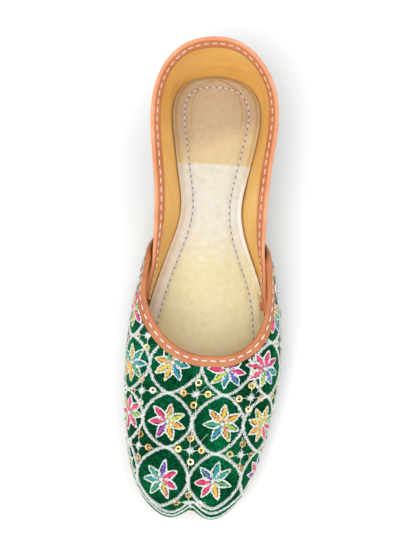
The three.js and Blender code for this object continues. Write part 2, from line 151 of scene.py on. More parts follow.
class ClosedSpline:
    """A closed curve through the points, one unit of u from point to point."""

    def __init__(self, points):
        self.controls = points.copy()
        for _ in range(30):
            around = np.roll(self.controls, 1, axis=0) + np.roll(self.controls, -1, axis=0)
            self.controls = self.controls + points - (4 * self.controls + around) / 6

    def __call__(self, u):
        start = np.floor(u).astype(int)
        f = (u - start)[:, None]
        weights = ((1 - f) ** 3 / 6, (3 * f ** 3 - 6 * f ** 2 + 4) / 6,
                   (-3 * f ** 3 + 3 * f ** 2 + 3 * f + 1) / 6, f ** 3 / 6)
        count = len(self.controls)
        return sum(w * self.controls[(start + k - 1) % count] for k, w in enumerate(weights))


def plan_normal(curve, u):
    along = curve(u + 0.01) - curve(u - 0.01)
    return unit(np.stack([-along[:, 1], along[:, 0], np.zeros(len(u))], axis=1))


def rib_handles():
    foot, top, rows = [], [], []
    for k in range(STATIONS):
        lateral = k <= LAST_ROW
        row = ROWS[k if lateral else STATIONS - k]
        side, name = (1, "lateral") if lateral else (-1, "medial")
        rows.append(row)
        foot.append((side * row["foot_" + name] / 100 * BALL_WIDTH, row["foot_along"] / 100 * SOLE_LENGTH, 0))
        top.append((side * row["top_" + name] / 100 * BALL_WIDTH, row["top_along"] / 100 * SOLE_LENGTH,
                    mix(INSTEP_HEIGHT, HEEL_HEIGHT, row["top_height"] / 100)))
    foot, top = np.array(foot, float), np.array(top, float)
    outward = plan_normal(ClosedSpline(foot), np.arange(STATIONS, dtype=float))
    foot[:, 2] = deck_height(foot[:, 1])
    rise = top[:, 2] - foot[:, 2]
    column = {name: np.array([row[name] for row in rows]) for name in COLUMNS}

    def handle(share_in, out, up):
        point = mix(foot, top, share_in[:, None] / 100) + outward * out[:, None]
        point[:, 2] = foot[:, 2] + rise * up / 100
        return point

    none = np.zeros(STATIONS)
    handles = (foot,
               handle(none, column["wall_out"], column["wall_up"]),
               handle(column["shoulder_in"], column["shoulder_out"], column["shoulder_up"]),
               handle(column["rise_in"], column["shoulder_out"] * 0.4, column["rise_up"]),
               top)
    welt = ClosedSpline(np.stack([column["welt"], none, none], axis=1))
    return [ClosedSpline(h) for h in handles], lambda u: welt(u)[:, 0]


RIBS, WELT = rib_handles()


def face_point(u, v):
    corners = [curve(u) for curve in RIBS]
    seat = deck_height(corners[0][:, 1]) - corners[0][:, 2]
    corners[0][:, 2] += seat
    corners[1][:, 2] += seat
    v = v[:, None]
    return sum(w * v ** k * (1 - v) ** (4 - k) * corners[k] for k, w in enumerate((1, 4, 6, 4, 1)))


def face_frame(u, v):
    step = 0.01
    along = (face_point(u + step, v) - face_point(u - step, v)) / (2 * step)
    up = (face_point(u, v + step) - face_point(u, v - step)) / (2 * step)
    return along, up, unit(np.cross(up, along))


def wall_point(u, v, offset):
    point = face_point(u, v) + face_frame(u, v)[2] * np.broadcast_to(offset, u.shape)[:, None]
    hold = np.maximum(0, 1 - v) ** 8
    point[:, 2] += (deck_height(point[:, 1]) - point[:, 2]) * hold
    return point


def rib_length(u):
    return np.linalg.norm(face_point(u, np.ones_like(u)) - face_point(u, np.zeros_like(u)), axis=1)


def from_heel(u):
    turned = np.mod(u, STATIONS)
    return np.minimum(turned, STATIONS - turned)


def wing_edge(t):
    return mix(WING_FOOT, WING_TOP, np.maximum(t, 0) ** 1.5)


def vamp_top(u):
    return 1 - WING_TOP_DROP * (1 - smoothstep(from_heel(u), WING_TOP, WING_TOP + WING_RUN))


def quarter_top(u):
    return mix(1, QUARTER_END_HEIGHT, smoothstep(from_heel(u), COLLAR_DROP_START, COLLAR_DROP_END))


def near_edge(distance):
    return 1 - smoothstep(distance, EDGE_BAND, EDGE_BAND + EDGE_FADE)


def wing_lift(u, v):
    ahead = from_heel(u) - WING_TOP
    along = smoothstep(ahead, -1, 0) * (1 - smoothstep(ahead, WING_LIFT_RUN, WING_LIFT_RUN + 1))
    return WING_LIFT * along * smoothstep(v, 0.3, 0.9)


def vamp_outside(u, v):
    return VAMP_FACE + wing_lift(u, v)


def vamp_inside(u, v):
    length = rib_length(u)
    from_wing = (from_heel(u) - wing_edge(np.minimum(v, 1))) * SOLE_LENGTH / LAST_ROW
    on_quarter = 1 - smoothstep(from_heel(u), QUARTER_CLEAR, QUARTER_CLEAR + 1)
    share = np.maximum.reduce([
        near_edge((vamp_top(u) - v) * length), near_edge(from_wing),
        near_edge((quarter_top(u) - v) * length) * on_quarter])
    return mix(-VAMP_SINK, VAMP_EDGE_INSIDE, share) + wing_lift(u, v)


def front_lean(u, v):
    """How far the quarters' front ends stand inwards, off the vamp and over the insole's edge."""
    centred = np.mod(u + LAST_ROW, STATIONS) - LAST_ROW
    ahead = np.abs(centred)
    lateral = LEAN_LATERAL * smoothstep(ahead, 6.7, 7.4)
    medial = LEAN_MEDIAL * smoothstep(ahead, 6.4, 7.2)
    return np.where(centred > 0, lateral, medial) * smoothstep(v, 0.03, 0.09)


def quarter_outside(u, v):
    return -front_lean(u, v)


def quarter_inside(u, v):
    """The quarter is skived thin towards its edge, so that the binding slopes inwards."""
    distance = (quarter_top(u) - v) * rib_length(u)
    return -mix(COLLAR_EDGE_WALL, QUARTER_WALL, smoothstep(distance, -1.5, 5.5)) - front_lean(u, v)


def rim_point(u, offset):
    return RIBS[0](u) + plan_normal(RIBS[0], u) * np.broadcast_to(offset, u.shape)[:, None]


# The frame's origin is the middle of the shoe's box, so the last is moved by the outsole's place
def frame_shift():
    u = np.linspace(0, STATIONS, 45 * 2)
    rim = rim_point(u, WELT(u))
    low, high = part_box("outsole")
    x = (low[0] + high[0]) * 500 - (rim[:, 0].min() + rim[:, 0].max()) / 2
    y = (low[1] + high[1]) * 500 - (rim[:, 1].min() + rim[:, 1].max()) / 2
    return np.array([x, y, 0])


SHIFT = frame_shift()


def to_frame(points):
    return (points + SHIFT) / 1000


# Mesh helpers
def place_vertices(piece, points):
    piece.data.vertices.foreach_set("co", to_frame(points).astype(np.float32).ravel())
    piece.data.update()


def deselect():
    if bpy.context.object and bpy.context.object.mode == "EDIT":
        bpy.ops.object.mode_set(mode="OBJECT")
    bpy.ops.object.select_all(action="DESELECT")


def only(piece):
    deselect()
    piece.select_set(True)
    bpy.context.view_layer.objects.active = piece


def grid_piece(name, columns, rows, place):
    """A grid whose corners are moved by place(s, t), both from 0 to 1, which gives millimetres."""
    deselect()
    bpy.ops.mesh.primitive_grid_add(x_subdivisions=columns, y_subdivisions=rows, size=1)
    piece = bpy.context.active_object
    piece.name = name
    flat = np.empty(len(piece.data.vertices) * 3, np.float32)
    piece.data.vertices.foreach_get("co", flat)
    flat = flat.reshape(-1, 3).astype(float)
    place_vertices(piece, place(flat[:, 0] + 0.5, flat[:, 1] + 0.5))
    return piece


def recalculate(piece):
    only(piece)
    bpy.ops.object.mode_set(mode="EDIT")
    bpy.ops.mesh.select_all(action="SELECT")
    bpy.ops.mesh.remove_doubles(threshold=2e-6)
    bpy.ops.mesh.normals_make_consistent(inside=False)
    bpy.ops.object.mode_set(mode="OBJECT")


def smooth(piece, angle=50):
    only(piece)
    bpy.ops.object.shade_smooth_by_angle(angle=math.radians(angle))


def apply_modifier(piece, kind, **settings):
    only(piece)
    modifier = piece.modifiers.new(kind.lower(), kind)
    for key, value in settings.items():
        setattr(modifier, key, value)
    bpy.ops.object.modifier_apply(modifier=modifier.name)


def close_ends(piece):
    only(piece)
    bpy.ops.object.mode_set(mode="EDIT")
    bpy.ops.mesh.select_all(action="DESELECT")
    bpy.ops.mesh.select_mode(type="EDGE")
    bpy.ops.mesh.select_non_manifold(extend=False)
    bpy.ops.mesh.fill_holes(sides=0)
    bpy.ops.object.mode_set(mode="OBJECT")


def two_sided(name, columns, rows, patch, outside, inside):
    """A closed wall between two offsets of one patch of the last."""
    def layer(offset):
        def place(s, t):
            u, v = patch(s, t)
            return wall_point(u, v, offset(u, v))
        return place
    outer = grid_piece(name, columns, rows, layer(outside))
    inner = grid_piece(name + "_back", columns, rows, layer(inside))
    only(outer)
    inner.select_set(True)
    bpy.ops.object.join()
    bpy.ops.object.mode_set(mode="EDIT")
    bpy.ops.mesh.select_all(action="DESELECT")
    bpy.ops.mesh.select_mode(type="EDGE")
    bpy.ops.mesh.select_non_manifold(extend=False)
    bpy.ops.mesh.bridge_edge_loops()
    bpy.ops.object.mode_set(mode="OBJECT")
    recalculate(outer)
    smooth(outer)
    return outer


def array_piece(name, points, faces, colours=None):
    """Many small things as one mesh. Points are in the frame's metres already."""
    mesh = bpy.data.meshes.new(name)
    mesh.from_pydata(points.tolist(), [], faces.tolist() if hasattr(faces, "tolist") else faces)
    mesh.update()
    if colours is not None:
        layer = mesh.color_attributes.new("thread_colour", "FLOAT_COLOR", "POINT")
        layer.data.foreach_set("color", colours.astype(np.float32).ravel())
    piece = bpy.data.objects.new(name, mesh)
    bpy.context.scene.collection.objects.link(piece)
    only(piece)
    bpy.ops.object.shade_smooth()
    return piece


class Threads:
    """Collects lengths of thread, each an open path with its own width, height and colour."""

    def __init__(self, sides=6):
        self.sides = sides
        self.points, self.faces, self.colours, self.count = [], [], [], 0

    def add(self, path, normals, width, height, colour=(1, 1, 1), end_colour=None, taper=True):
        path, normals = np.asarray(path, float), np.asarray(normals, float)
        count = len(path)
        if count < 2:
            return
        tangent = unit(np.gradient(path, axis=0))
        side = unit(np.cross(tangent, normals))
        up = unit(np.cross(side, tangent))
        angle = np.arange(self.sides) / self.sides * 2 * math.pi
        size = np.ones(count)
        if taper:
            size[0] = size[-1] = 0.35
        across = np.cos(angle)[None, :, None] * side[:, None] * (width / 2) * size[:, None, None]
        raised = np.sin(angle)[None, :, None] * up[:, None] * (height / 2) * size[:, None, None]
        self.points.append((path[:, None] + across + raised).reshape(-1, 3))
        ring = np.arange(self.sides)
        after = (ring + 1) % self.sides
        for i in range(count - 1):
            low = self.count + i * self.sides
            high = low + self.sides
            self.faces.extend(zip(low + ring, low + after, high + after, high + ring))
        self.faces.append(tuple(self.count + ring[::-1]))
        self.faces.append(tuple(self.count + (count - 1) * self.sides + ring))
        share = np.linspace(0, 1, count)[:, None]
        end = colour if end_colour is None else end_colour
        shade = mix(np.array(colour), np.array(end), share)
        shade = np.concatenate([shade, np.ones((count, 1))], axis=1)
        self.colours.append(np.repeat(shade, self.sides, axis=0))
        self.count += count * self.sides

    def piece(self, name):
        faces = [tuple(int(i) for i in face) for face in self.faces]
        return array_piece(name, to_frame(np.concatenate(self.points)), faces,
                           np.concatenate(self.colours))


# Colours and material nodes
def linear(hex_colour):
    channels = [int(hex_colour[i:i + 2], 16) / 255 for i in (1, 3, 5)]
    return tuple(c / 12.92 if c <= 0.04045 else ((c + 0.055) / 1.055) ** 2.4 for c in channels)


def rgba(hex_colour):
    return (*linear(hex_colour), 1)


def node(tree, kind, settings=None, inputs=None):
    """Adds one node. An input given as (node, socket name) is a link, anything else is a value."""
    made = tree.nodes.new(kind)
    for key, value in (settings or {}).items():
        setattr(made, key, value)
    for key, value in (inputs or {}).items():
        if isinstance(value, tuple) and len(value) == 2 and isinstance(value[0], bpy.types.Node):
            tree.links.new(value[0].outputs[value[1]], made.inputs[key])
        else:
            made.inputs[key].default_value = value
    return made


def new_material(name):
    material = bpy.data.materials.new(name)
    material.use_nodes = True
    material.node_tree.nodes.clear()
    return material, material.node_tree


def finish_material(tree, inputs):
    shader = node(tree, "ShaderNodeBsdfPrincipled", None, inputs)
    output = node(tree, "ShaderNodeOutputMaterial")
    tree.links.new(shader.outputs["BSDF"], output.inputs["Surface"])


def ramp(tree, source, stops):
    made = node(tree, "ShaderNodeValToRGB", None, {"Fac": source})
    elements = made.color_ramp.elements
    while len(elements) < len(stops):
        elements.new(0.5)
    for element, (position, colour) in zip(elements, stops):
        element.position = position
        element.color = rgba(colour)
    return made


def mixed(tree, factor, first, second, blend="MIX"):
    made = node(tree, "ShaderNodeMix", {"data_type": "RGBA", "blend_type": blend})
    for socket, value in ((0, factor), (6, first), (7, second)):
        if isinstance(value, tuple) and len(value) == 2 and isinstance(value[0], bpy.types.Node):
            tree.links.new(value[0].outputs[value[1]], made.inputs[socket])
        else:
            made.inputs[socket].default_value = value
    return (made, 2)


def textured(tree, vector, scale, detail=2.0, roughness=0.5):
    return node(tree, "ShaderNodeTexNoise", None,
                {"Vector": vector, "Scale": scale, "Detail": detail, "Roughness": roughness})


def bumped(tree, height, strength, distance_mm, normal=None):
    inputs = {"Height": height, "Strength": strength, "Distance": distance_mm / 1000}
    if normal is not None:
        inputs["Normal"] = (normal, "Normal")
    return node(tree, "ShaderNodeBump", None, inputs)


def per_mm(size_mm):
    """Noise scale that gives features of about this size, as the frame is in metres."""
    return 1000 / size_mm


def scaled(tree, value, low, high):
    made = node(tree, "ShaderNodeMapRange", None,
                {"Value": value, "From Min": 0.3, "From Max": 0.7, "To Min": low, "To Max": high})
    return (made, "Result")


# Cotton velvet: a short cut pile, nearly black-green face on, with a bright green sheen at a slant
def velvet_material():
    material, tree = new_material("velvet_green_cut_pile")
    place = (node(tree, "ShaderNodeTexCoord"), "Object")
    brushed = textured(tree, place, per_mm(26), 3)
    pile = textured(tree, place, per_mm(0.85), 2, 0.8)
    base = ramp(tree, (brushed, "Fac"), [(0.32, "#004329"), (0.5, "#005c38"), (0.7, "#038152")])
    fine = ramp(tree, (pile, "Fac"), [(0.4, "#1f382c"), (0.5, "#98b0a3"), (0.59, "#ffffff")])
    colour = mixed(tree, 0.9, (base, "Color"), (fine, "Color"), "MULTIPLY")
    bump = bumped(tree, (pile, "Fac"), 0.8, 0.4)
    finish_material(tree, {
        "Base Color": colour, "Roughness": 0.9, "Specular IOR Level": 0.05,
        "Sheen Weight": 0.7, "Sheen Roughness": 0.36, "Sheen Tint": rgba("#22c47c"),
        "Normal": (bump, "Normal")})
    return material


# Goat leather lining: dyed yellow tan, smooth and matt, with soft handling marks
def lining_material():
    material, tree = new_material("lining_goat_leather")
    place = (node(tree, "ShaderNodeTexCoord"), "Object")
    cloud = textured(tree, place, per_mm(30), 3)
    grain = textured(tree, place, per_mm(0.9), 3, 0.6)
    base = ramp(tree, (cloud, "Fac"), [(0.3, "#eebc66"), (0.55, "#f6cb78"), (0.75, "#fbd98c")])
    fine = ramp(tree, (grain, "Fac"), [(0.25, "#e6dccf"), (0.7, "#ffffff")])
    colour = mixed(tree, 0.5, (base, "Color"), (fine, "Color"), "MULTIPLY")
    bump = bumped(tree, (grain, "Fac"), 0.35, 0.12)
    finish_material(tree, {
        "Base Color": colour, "Roughness": scaled(tree, (grain, "Fac"), 0.52, 0.66),
        "Specular IOR Level": 0.35, "Normal": (bump, "Normal")})
    return material


# Binding: thin coral tan sheep leather, folded, with painted light and shade along the fold: lighter round its crown,
# darker on the inner leg
def binding_material(name, stops):
    material, tree = new_material(name)
    place = (node(tree, "ShaderNodeTexCoord"), "Object")
    cloud = textured(tree, place, per_mm(14), 3)
    grain = node(tree, "ShaderNodeTexVoronoi", {"feature": "SMOOTH_F1"},
                 {"Vector": place, "Scale": per_mm(0.8), "Smoothness": 0.6})
    base = ramp(tree, (cloud, "Fac"), stops)
    # Painted light and shade of the fold, stored at each vertex, multiplies the leather's colour
    shade = node(tree, "ShaderNodeAttribute", {"attribute_name": "edge_shade"})
    colour = mixed(tree, 1.0, (base, "Color"), (shade, "Color"), "MULTIPLY")
    bump = bumped(tree, (grain, "Distance"), 0.3, 0.12)
    finish_material(tree, {
        "Base Color": colour, "Roughness": scaled(tree, (cloud, "Fac"), 0.38, 0.5),
        "Specular IOR Level": 0.45, "Normal": (bump, "Normal")})
    return material


# Insole: cream kid leather forward, pinkish tan under the heel, polished by handling. Its vertex colours also carry
# painted light: a painted sheen across the waist, a painted highlight along the lifted lateral rim, and a toe painted
# lighter against the shade under the vamp
def insole_material():
    material, tree = new_material("insole_kid_leather")
    place = (node(tree, "ShaderNodeTexCoord"), "Object")
    mottle = textured(tree, place, per_mm(4.2), 5, 0.72)
    grain = textured(tree, place, per_mm(2.1), 3, 0.6)
    # The vertex colours hold the leather's zones together with painted light
    zone = node(tree, "ShaderNodeAttribute", {"attribute_name": "insole_zone"})
    soft = ramp(tree, (mottle, "Fac"), [(0.3, "#ece3cb"), (0.5, "#f9f4e6"), (0.68, "#ffffff")])
    colour = mixed(tree, 0.7, (zone, "Color"), (soft, "Color"), "MULTIPLY")
    bump = bumped(tree, (grain, "Fac"), 0.45, 0.3)
    finish_material(tree, {
        "Base Color": colour, "Roughness": scaled(tree, (mottle, "Fac"), 0.36, 0.5),
        "Specular IOR Level": 0.4, "Normal": (bump, "Normal")})
    return material


# Sole leather: vegetable tanned hide, waxed, with pressed fibres along the cut edge
def sole_material():
    material, tree = new_material("sole_leather_vegetable_tanned")
    place = (node(tree, "ShaderNodeTexCoord"), "Object")
    layers = node(tree, "ShaderNodeMapping", None, {"Vector": place, "Scale": (1, 1, 9)})
    fibre = textured(tree, (layers, "Vector"), per_mm(3.5), 4, 0.65)
    cloud = textured(tree, place, per_mm(38), 3)
    base = ramp(tree, (cloud, "Fac"), [(0.3, "#8a5a34"), (0.55, "#a06c40"), (0.75, "#b27d4e")])
    fine = ramp(tree, (fibre, "Fac"), [(0.3, "#b49c88"), (0.6, "#ffffff")])
    colour = mixed(tree, 0.8, (base, "Color"), (fine, "Color"), "MULTIPLY")
    bump = bumped(tree, (fibre, "Fac"), 0.4, 0.2)
    finish_material(tree, {
        "Base Color": colour, "Roughness": scaled(tree, (fibre, "Fac"), 0.46, 0.62),
        "Specular IOR Level": 0.4, "Normal": (bump, "Normal")})
    return material


# Thread: each piece keeps its own colours; metallic gives the silver thread, gloss the silk
def thread_material(name, metallic, roughness, twist_mm, sheen):
    material, tree = new_material(name)
    place = (node(tree, "ShaderNodeTexCoord"), "Object")
    dye = node(tree, "ShaderNodeAttribute", {"attribute_name": "thread_colour"})
    strand = textured(tree, place, per_mm(twist_mm), 2, 0.7)
    fine = ramp(tree, (strand, "Fac"), [(0.3, "#b4b4b4"), (0.6, "#ffffff")])
    colour = mixed(tree, 0.6, (dye, "Color"), (fine, "Color"), "MULTIPLY")
    bump = bumped(tree, (strand, "Fac"), 0.5, 0.12)
    finish_material(tree, {
        "Base Color": colour, "Roughness": roughness, "Metallic": metallic,
        "Sheen Weight": sheen, "Sheen Roughness": 0.4, "Normal": (bump, "Normal")})
    return material


# Sequins: thin gilt foil, stamped with a small dish round the hole
def foil_material():
    material, tree = new_material("sequin_gilt_foil")
    place = (node(tree, "ShaderNodeTexCoord"), "Object")
    dye = node(tree, "ShaderNodeAttribute", {"attribute_name": "thread_colour"})
    worn = textured(tree, place, per_mm(1.2), 2)
    fine = ramp(tree, (worn, "Fac"), [(0.3, "#c9c1b0"), (0.6, "#ffffff")])
    colour = mixed(tree, 0.7, (dye, "Color"), (fine, "Color"), "MULTIPLY")
    finish_material(tree, {
        "Base Color": colour, "Roughness": scaled(tree, (worn, "Fac"), 0.22, 0.36), "Metallic": 0.85})
    return material


VELVET = velvet_material()
LINING = lining_material()
THROAT_LEATHER = binding_material(
    "binding_sheep_leather_tan", [(0.3, "#ab643a"), (0.55, "#b97247"), (0.75, "#c68153")])
COLLAR_LEATHER = binding_material(
    "binding_sheep_leather_coral", [(0.3, "#d28258"), (0.55, "#dd936a"), (0.75, "#e5a17a")])
INSOLE_LEATHER = insole_material()
SOLE_LEATHER = sole_material()
COTTON = thread_material("thread_waxed_cotton", 0, 0.6, 0.5, 0.3)


# Soft creases of the walls: place, slope in degrees from the sole line, half lengths, depth
CREASES = (
    # u, v, slope, half length, half width, depth, all but the first two in degrees or millimetres
    (-4.35, 0.45, 62, 14, 2.2, 0.45),
    (-4.75, 0.62, 35, 10, 1.8, 0.3),
    (4.55, 0.50, 20, 12, 2.0, 0.35),
    (5.1, 0.35, -28, 11, 2.4, 0.3),
    (2.3, 0.30, -35, 12, 2.6, 0.35),
    (-1.9, 0.28, 40, 13, 2.6, 0.35),
    (0.4, 0.34, 8, 16, 3.0, 0.3),
    (9.4, 0.42, 78, 16, 3.4, 0.3),
    (-9.2, 0.40, -74, 15, 3.4, 0.3),
    (10.8, 0.30, 82, 12, 2.8, 0.22),
    (-10.6, 0.28, -80, 12, 2.8, 0.22),
)


def crease_depth(u, v):
    mm_along = SOLE_LENGTH / LAST_ROW
    centred = np.mod(u + LAST_ROW, STATIONS) - LAST_ROW
    length = rib_length(u)
    total = np.zeros_like(u)
    for place_u, place_v, slope, half_length, half_width, depth in CREASES:
        along, up = (centred - place_u) * mm_along, (v - place_v) * length
        turn = math.radians(slope)
        run = along * math.cos(turn) + up * math.sin(turn)
        across = up * math.cos(turn) - along * math.sin(turn)
        fade = 1 - smoothstep(np.abs(run), half_length * 0.3, half_length)
        total -= depth * fade * np.exp(-(across / half_width) ** 2)
        total += depth * 0.4 * fade * np.exp(-((across - 2 * half_width) / half_width) ** 2)
    return total


def vamp_patch(s, t):
    edge = wing_edge(t)
    u = mix(edge, STATIONS - edge, s)
    return u, t * vamp_top(u)


def quarter_patch(s, t):
    """The wall ends a little short of its binding's front ends."""
    u = mix(END_SHORT - QUARTER_END_MEDIAL, QUARTER_END_LATERAL - END_SHORT, s)
    return u, t * quarter_top(u)


def creased(offset):
    return lambda u, v: offset(u, v) + crease_depth(u, v) * smoothstep(v, 0.02, 0.15)


def dress(piece, *materials):
    piece.data.materials.clear()
    for material in materials:
        piece.data.materials.append(material)


def two_sided_wall(name, columns, rows, patch, outside, inside):
    """A closed wall between two offsets of one patch: velvet outside, leather lining inside."""
    def layer(offset):
        def place(s, t):
            u, v = patch(s, t)
            point = wall_point(u, v, offset(u, v))
            point[:, 2] -= GAP * np.maximum(0, 1 - v) ** 8
            return point
        return place
    outer = grid_piece(name, columns, rows, layer(outside))
    dress(outer, VELVET)
    inner = grid_piece(name + "_lining", columns, rows, layer(inside))
    dress(inner, LINING)
    only(outer)
    inner.select_set(True)
    bpy.ops.object.join()
    bpy.ops.object.mode_set(mode="EDIT")
    bpy.ops.mesh.select_all(action="DESELECT")
    bpy.ops.mesh.select_mode(type="EDGE")
    bpy.ops.mesh.select_non_manifold(extend=False)
    bpy.ops.mesh.bridge_edge_loops()
    bpy.ops.object.mode_set(mode="OBJECT")
    recalculate(outer)
    smooth(outer)
    return outer


# Plates: each section runs round from the middle of the underside, by the lateral edge to the top
def plate_piece(name, first, last, rows, across, rim, profile, top_at, bottom_at):
    insets = [inset for inset, _ in profile]
    heights = [height for _, height in profile]
    half = list(np.linspace(0.5, 1, across // 2 + 1))
    shares = half[:-1] + [1] * len(profile) + half[:-1][::-1]
    shares += [1 - share for share in half[1:-1]] + [0] * len(profile) + [1 - share for share in half[:-1][::-1]]
    flat = len(half) - 1
    inset_loop = [insets[0]] * flat + insets + [insets[-1]] * (2 * flat - 1) + insets[::-1] + [insets[0]] * flat
    height_loop = [0] * flat + heights + [1] * (2 * flat - 1) + heights[::-1] + [0] * flat
    count = len(shares)

    def place(s, t):
        k = mix(first, last, s)
        index = np.rint(t * (count - 1)).astype(int)
        inset = rim(k) - np.array(inset_loop)[index]
        share = np.array(shares)[index]
        medial, lateral = rim_point(STATIONS - k, inset), rim_point(k, inset)
        width = np.linalg.norm(lateral - medial, axis=1)
        point = mix(medial, lateral, share[:, None])
        height = np.array(height_loop)[index]
        low = bottom_at(point[:, 0], point[:, 1], share, width)
        high = top_at(point[:, 0], point[:, 1], share, width)
        point[:, 2] = mix(low, high, height)
        return point

    piece = grid_piece(name, rows, count - 1, place)
    recalculate(piece)
    if last < LAST_ROW:
        close_ends(piece)
        recalculate(piece)
    smooth(piece, 40)
    return piece


# Insole: crowned, skived at the edge, with a stitched channel and a leather heel sock
INSOLE_EDGE = -(QUARTER_WALL + GAP)
CHANNEL_IN = 6.7
SOCK_FRONT = 75
SOCK_THICK = 0.35
LIFTED_FROM, LIFTED_TO = 2, 72
LIFT = 1.3


def sock_share(x, y, distance):
    """1 on the heel sock, which ends in a straight cut across the waist."""
    return smoothstep(y, SOCK_FRONT - 0.35, SOCK_FRONT + 0.35) * np.ones_like(distance)


def insole_top(x, y, share, width):
    distance = np.minimum(share, 1 - share) * width
    pad = INSOLE_PAD * np.sin(math.pi * share) * smoothstep(width, 0, 30)
    channel = -0.4 * np.exp(-((distance - CHANNEL_IN) / 0.75) ** 2) * smoothstep(width, 10, 24)
    lateral = (share > 0.5) * smoothstep(y, LIFTED_FROM, 16) * (1 - smoothstep(y, 58, LIFTED_TO))
    skive = -0.75 * (1 - smoothstep(distance, 0, 2.4)) * smoothstep(width, 0, 12) * (1 - lateral)
    lift = LIFT * lateral * (1 - smoothstep(distance, 0.4, 3.6))
    sock = SOCK_THICK * sock_share(x, y, distance) * smoothstep(distance, 0, 1.5)
    cushion = 0.55 * smoothstep(distance, 9.2, 10.4) * smoothstep(y, 84, 100)
    cup = 0.6 * np.exp(-((x - 1) / 9) ** 2 - ((y - 96) / 13) ** 2)
    return deck_height(y) + INSOLE_THICK + pad + skive + channel + lift + sock + cushion - cup


def paint_vertices(piece, attribute, colour_of):
    """Stores a colour at each vertex, worked out from its place in millimetres."""
    mesh = piece.data
    flat = np.empty(len(mesh.vertices) * 3, np.float32)
    mesh.vertices.foreach_get("co", flat)
    points = flat.reshape(-1, 3).astype(float) * 1000 - SHIFT
    colours = np.ones((len(points), 4), np.float32)
    colours[:, :3] = colour_of(points)
    layer = mesh.color_attributes.new(attribute, "FLOAT_COLOR", "POINT")
    layer.data.foreach_set("color", colours.ravel())


def insole_colours(points):
    x, y, z = points.T
    # Zone colours of the leather with painted light: the cool grey-white one is a painted sheen across the waist,
    # ahead of the heel sock
    heel = np.array(linear("#bfad95"))
    gold = np.array(linear("#d6c9a4"))
    painted_light = np.array(linear("#dcdfdd"))
    cream = np.array(linear("#e2ddb8"))
    # The toe colour is cream painted lighter, partly painted light that lifts the shade under the vamp
    toe = np.array(linear("#faf0cc"))
    forward = mix(cream, painted_light, smoothstep(y, 10, 48)[:, None])
    forward = mix(toe, forward, smoothstep(y, -45, -8)[:, None])
    slant = y - 0.35 * (x + 4) - 4
    rear = mix(gold, heel, smoothstep(slant, 76, 92)[:, None])
    colours = mix(forward, rear, smoothstep(y, SOCK_FRONT - 0.5, SOCK_FRONT + 0.5)[:, None])
    rim = rim_point(np.linspace(0, STATIONS, 600), INSOLE_EDGE)
    rim[:, 2] = 0
    flat = np.stack([x, y, np.zeros_like(x)], 1)
    distance = nearest_distance(flat, rim)
    margin = 1 - smoothstep(distance, CHANNEL_IN - 1.2, CHANNEL_IN - 0.2)
    medial = margin * (x < 0) * (1 - smoothstep(y, 40, 62))
    colours = mix(colours, np.array(linear("#e0dad6")), 0.85 * medial[:, None])
    # A painted highlight: pale bluish white along the lifted lateral rim, where its edge catches the light
    lifted = (x > 0) * smoothstep(y, LIFTED_FROM, 10) * (1 - smoothstep(y, 58, LIFTED_TO))
    painted_rim_highlight_width = mix(1.0, 2.2, smoothstep(y, 16, 34))
    painted_rim_highlight = lifted * (1 - smoothstep(distance - painted_rim_highlight_width, -0.2, 0.3))
    return mix(colours, np.array(linear("#f4f4ff")), painted_rim_highlight[:, None])


def make_insole():
    edge = [(0.5, 0), (0.12, 0.12), (0, 0.35), (0, 0.7), (0.15, 0.88), (0.5, 0.97), (0.9, 1)]
    piece = plate_piece("insole_leather_sock", 0, LAST_ROW, 300, 110, lambda k: np.full_like(k, INSOLE_EDGE), edge,
                        insole_top, lambda x, y, share, width: deck_height(y))
    paint_vertices(piece, "insole_zone", insole_colours)
    dress(piece, INSOLE_LEATHER)
    return piece


# Outsole and heel
def make_outsole():
    edge = [(1.0, 0), (0.45, 0.06), (0.12, 0.16), (0, 0.3), (0, 0.62), (0.14, 0.66), (0.14, 0.7),
            (0, 0.74), (0.08, 0.88), (0.35, 0.97), (0.8, 1)]

    def underside(x, y, share, width):
        distance = np.minimum(share, 1 - share) * width
        channel = 0.45 * np.exp(-((distance - 4.5) / 0.8) ** 2) * smoothstep(width, 12, 22)
        return underside_height(y) + channel

    piece = plate_piece("outsole_leather", 0, LAST_ROW, 300, 90, WELT, edge,
                        lambda x, y, share, width: underside_height(y) + OUTSOLE_THICK, underside)
    dress(piece, SOLE_LEATHER)
    return piece


def make_heel():
    edge = [(0.9, 0), (0.35, 0.04), (0.08, 0.1), (0, 0.2), (0, 0.44), (0.22, 0.48), (0.22, 0.52),
            (0, 0.56), (0, 0.92), (0.25, 0.98), (0.6, 1)]
    piece = plate_piece("heel_lifts_leather", 0, HEEL_LAST_ROW, 90, 24, lambda k: WELT(k) - HEEL_INSET, edge,
                        lambda x, y, share, width: np.full_like(y, HEEL_RISE),
                        lambda x, y, share, width: np.zeros_like(y))
    dress(piece, SOLE_LEATHER)
    return piece


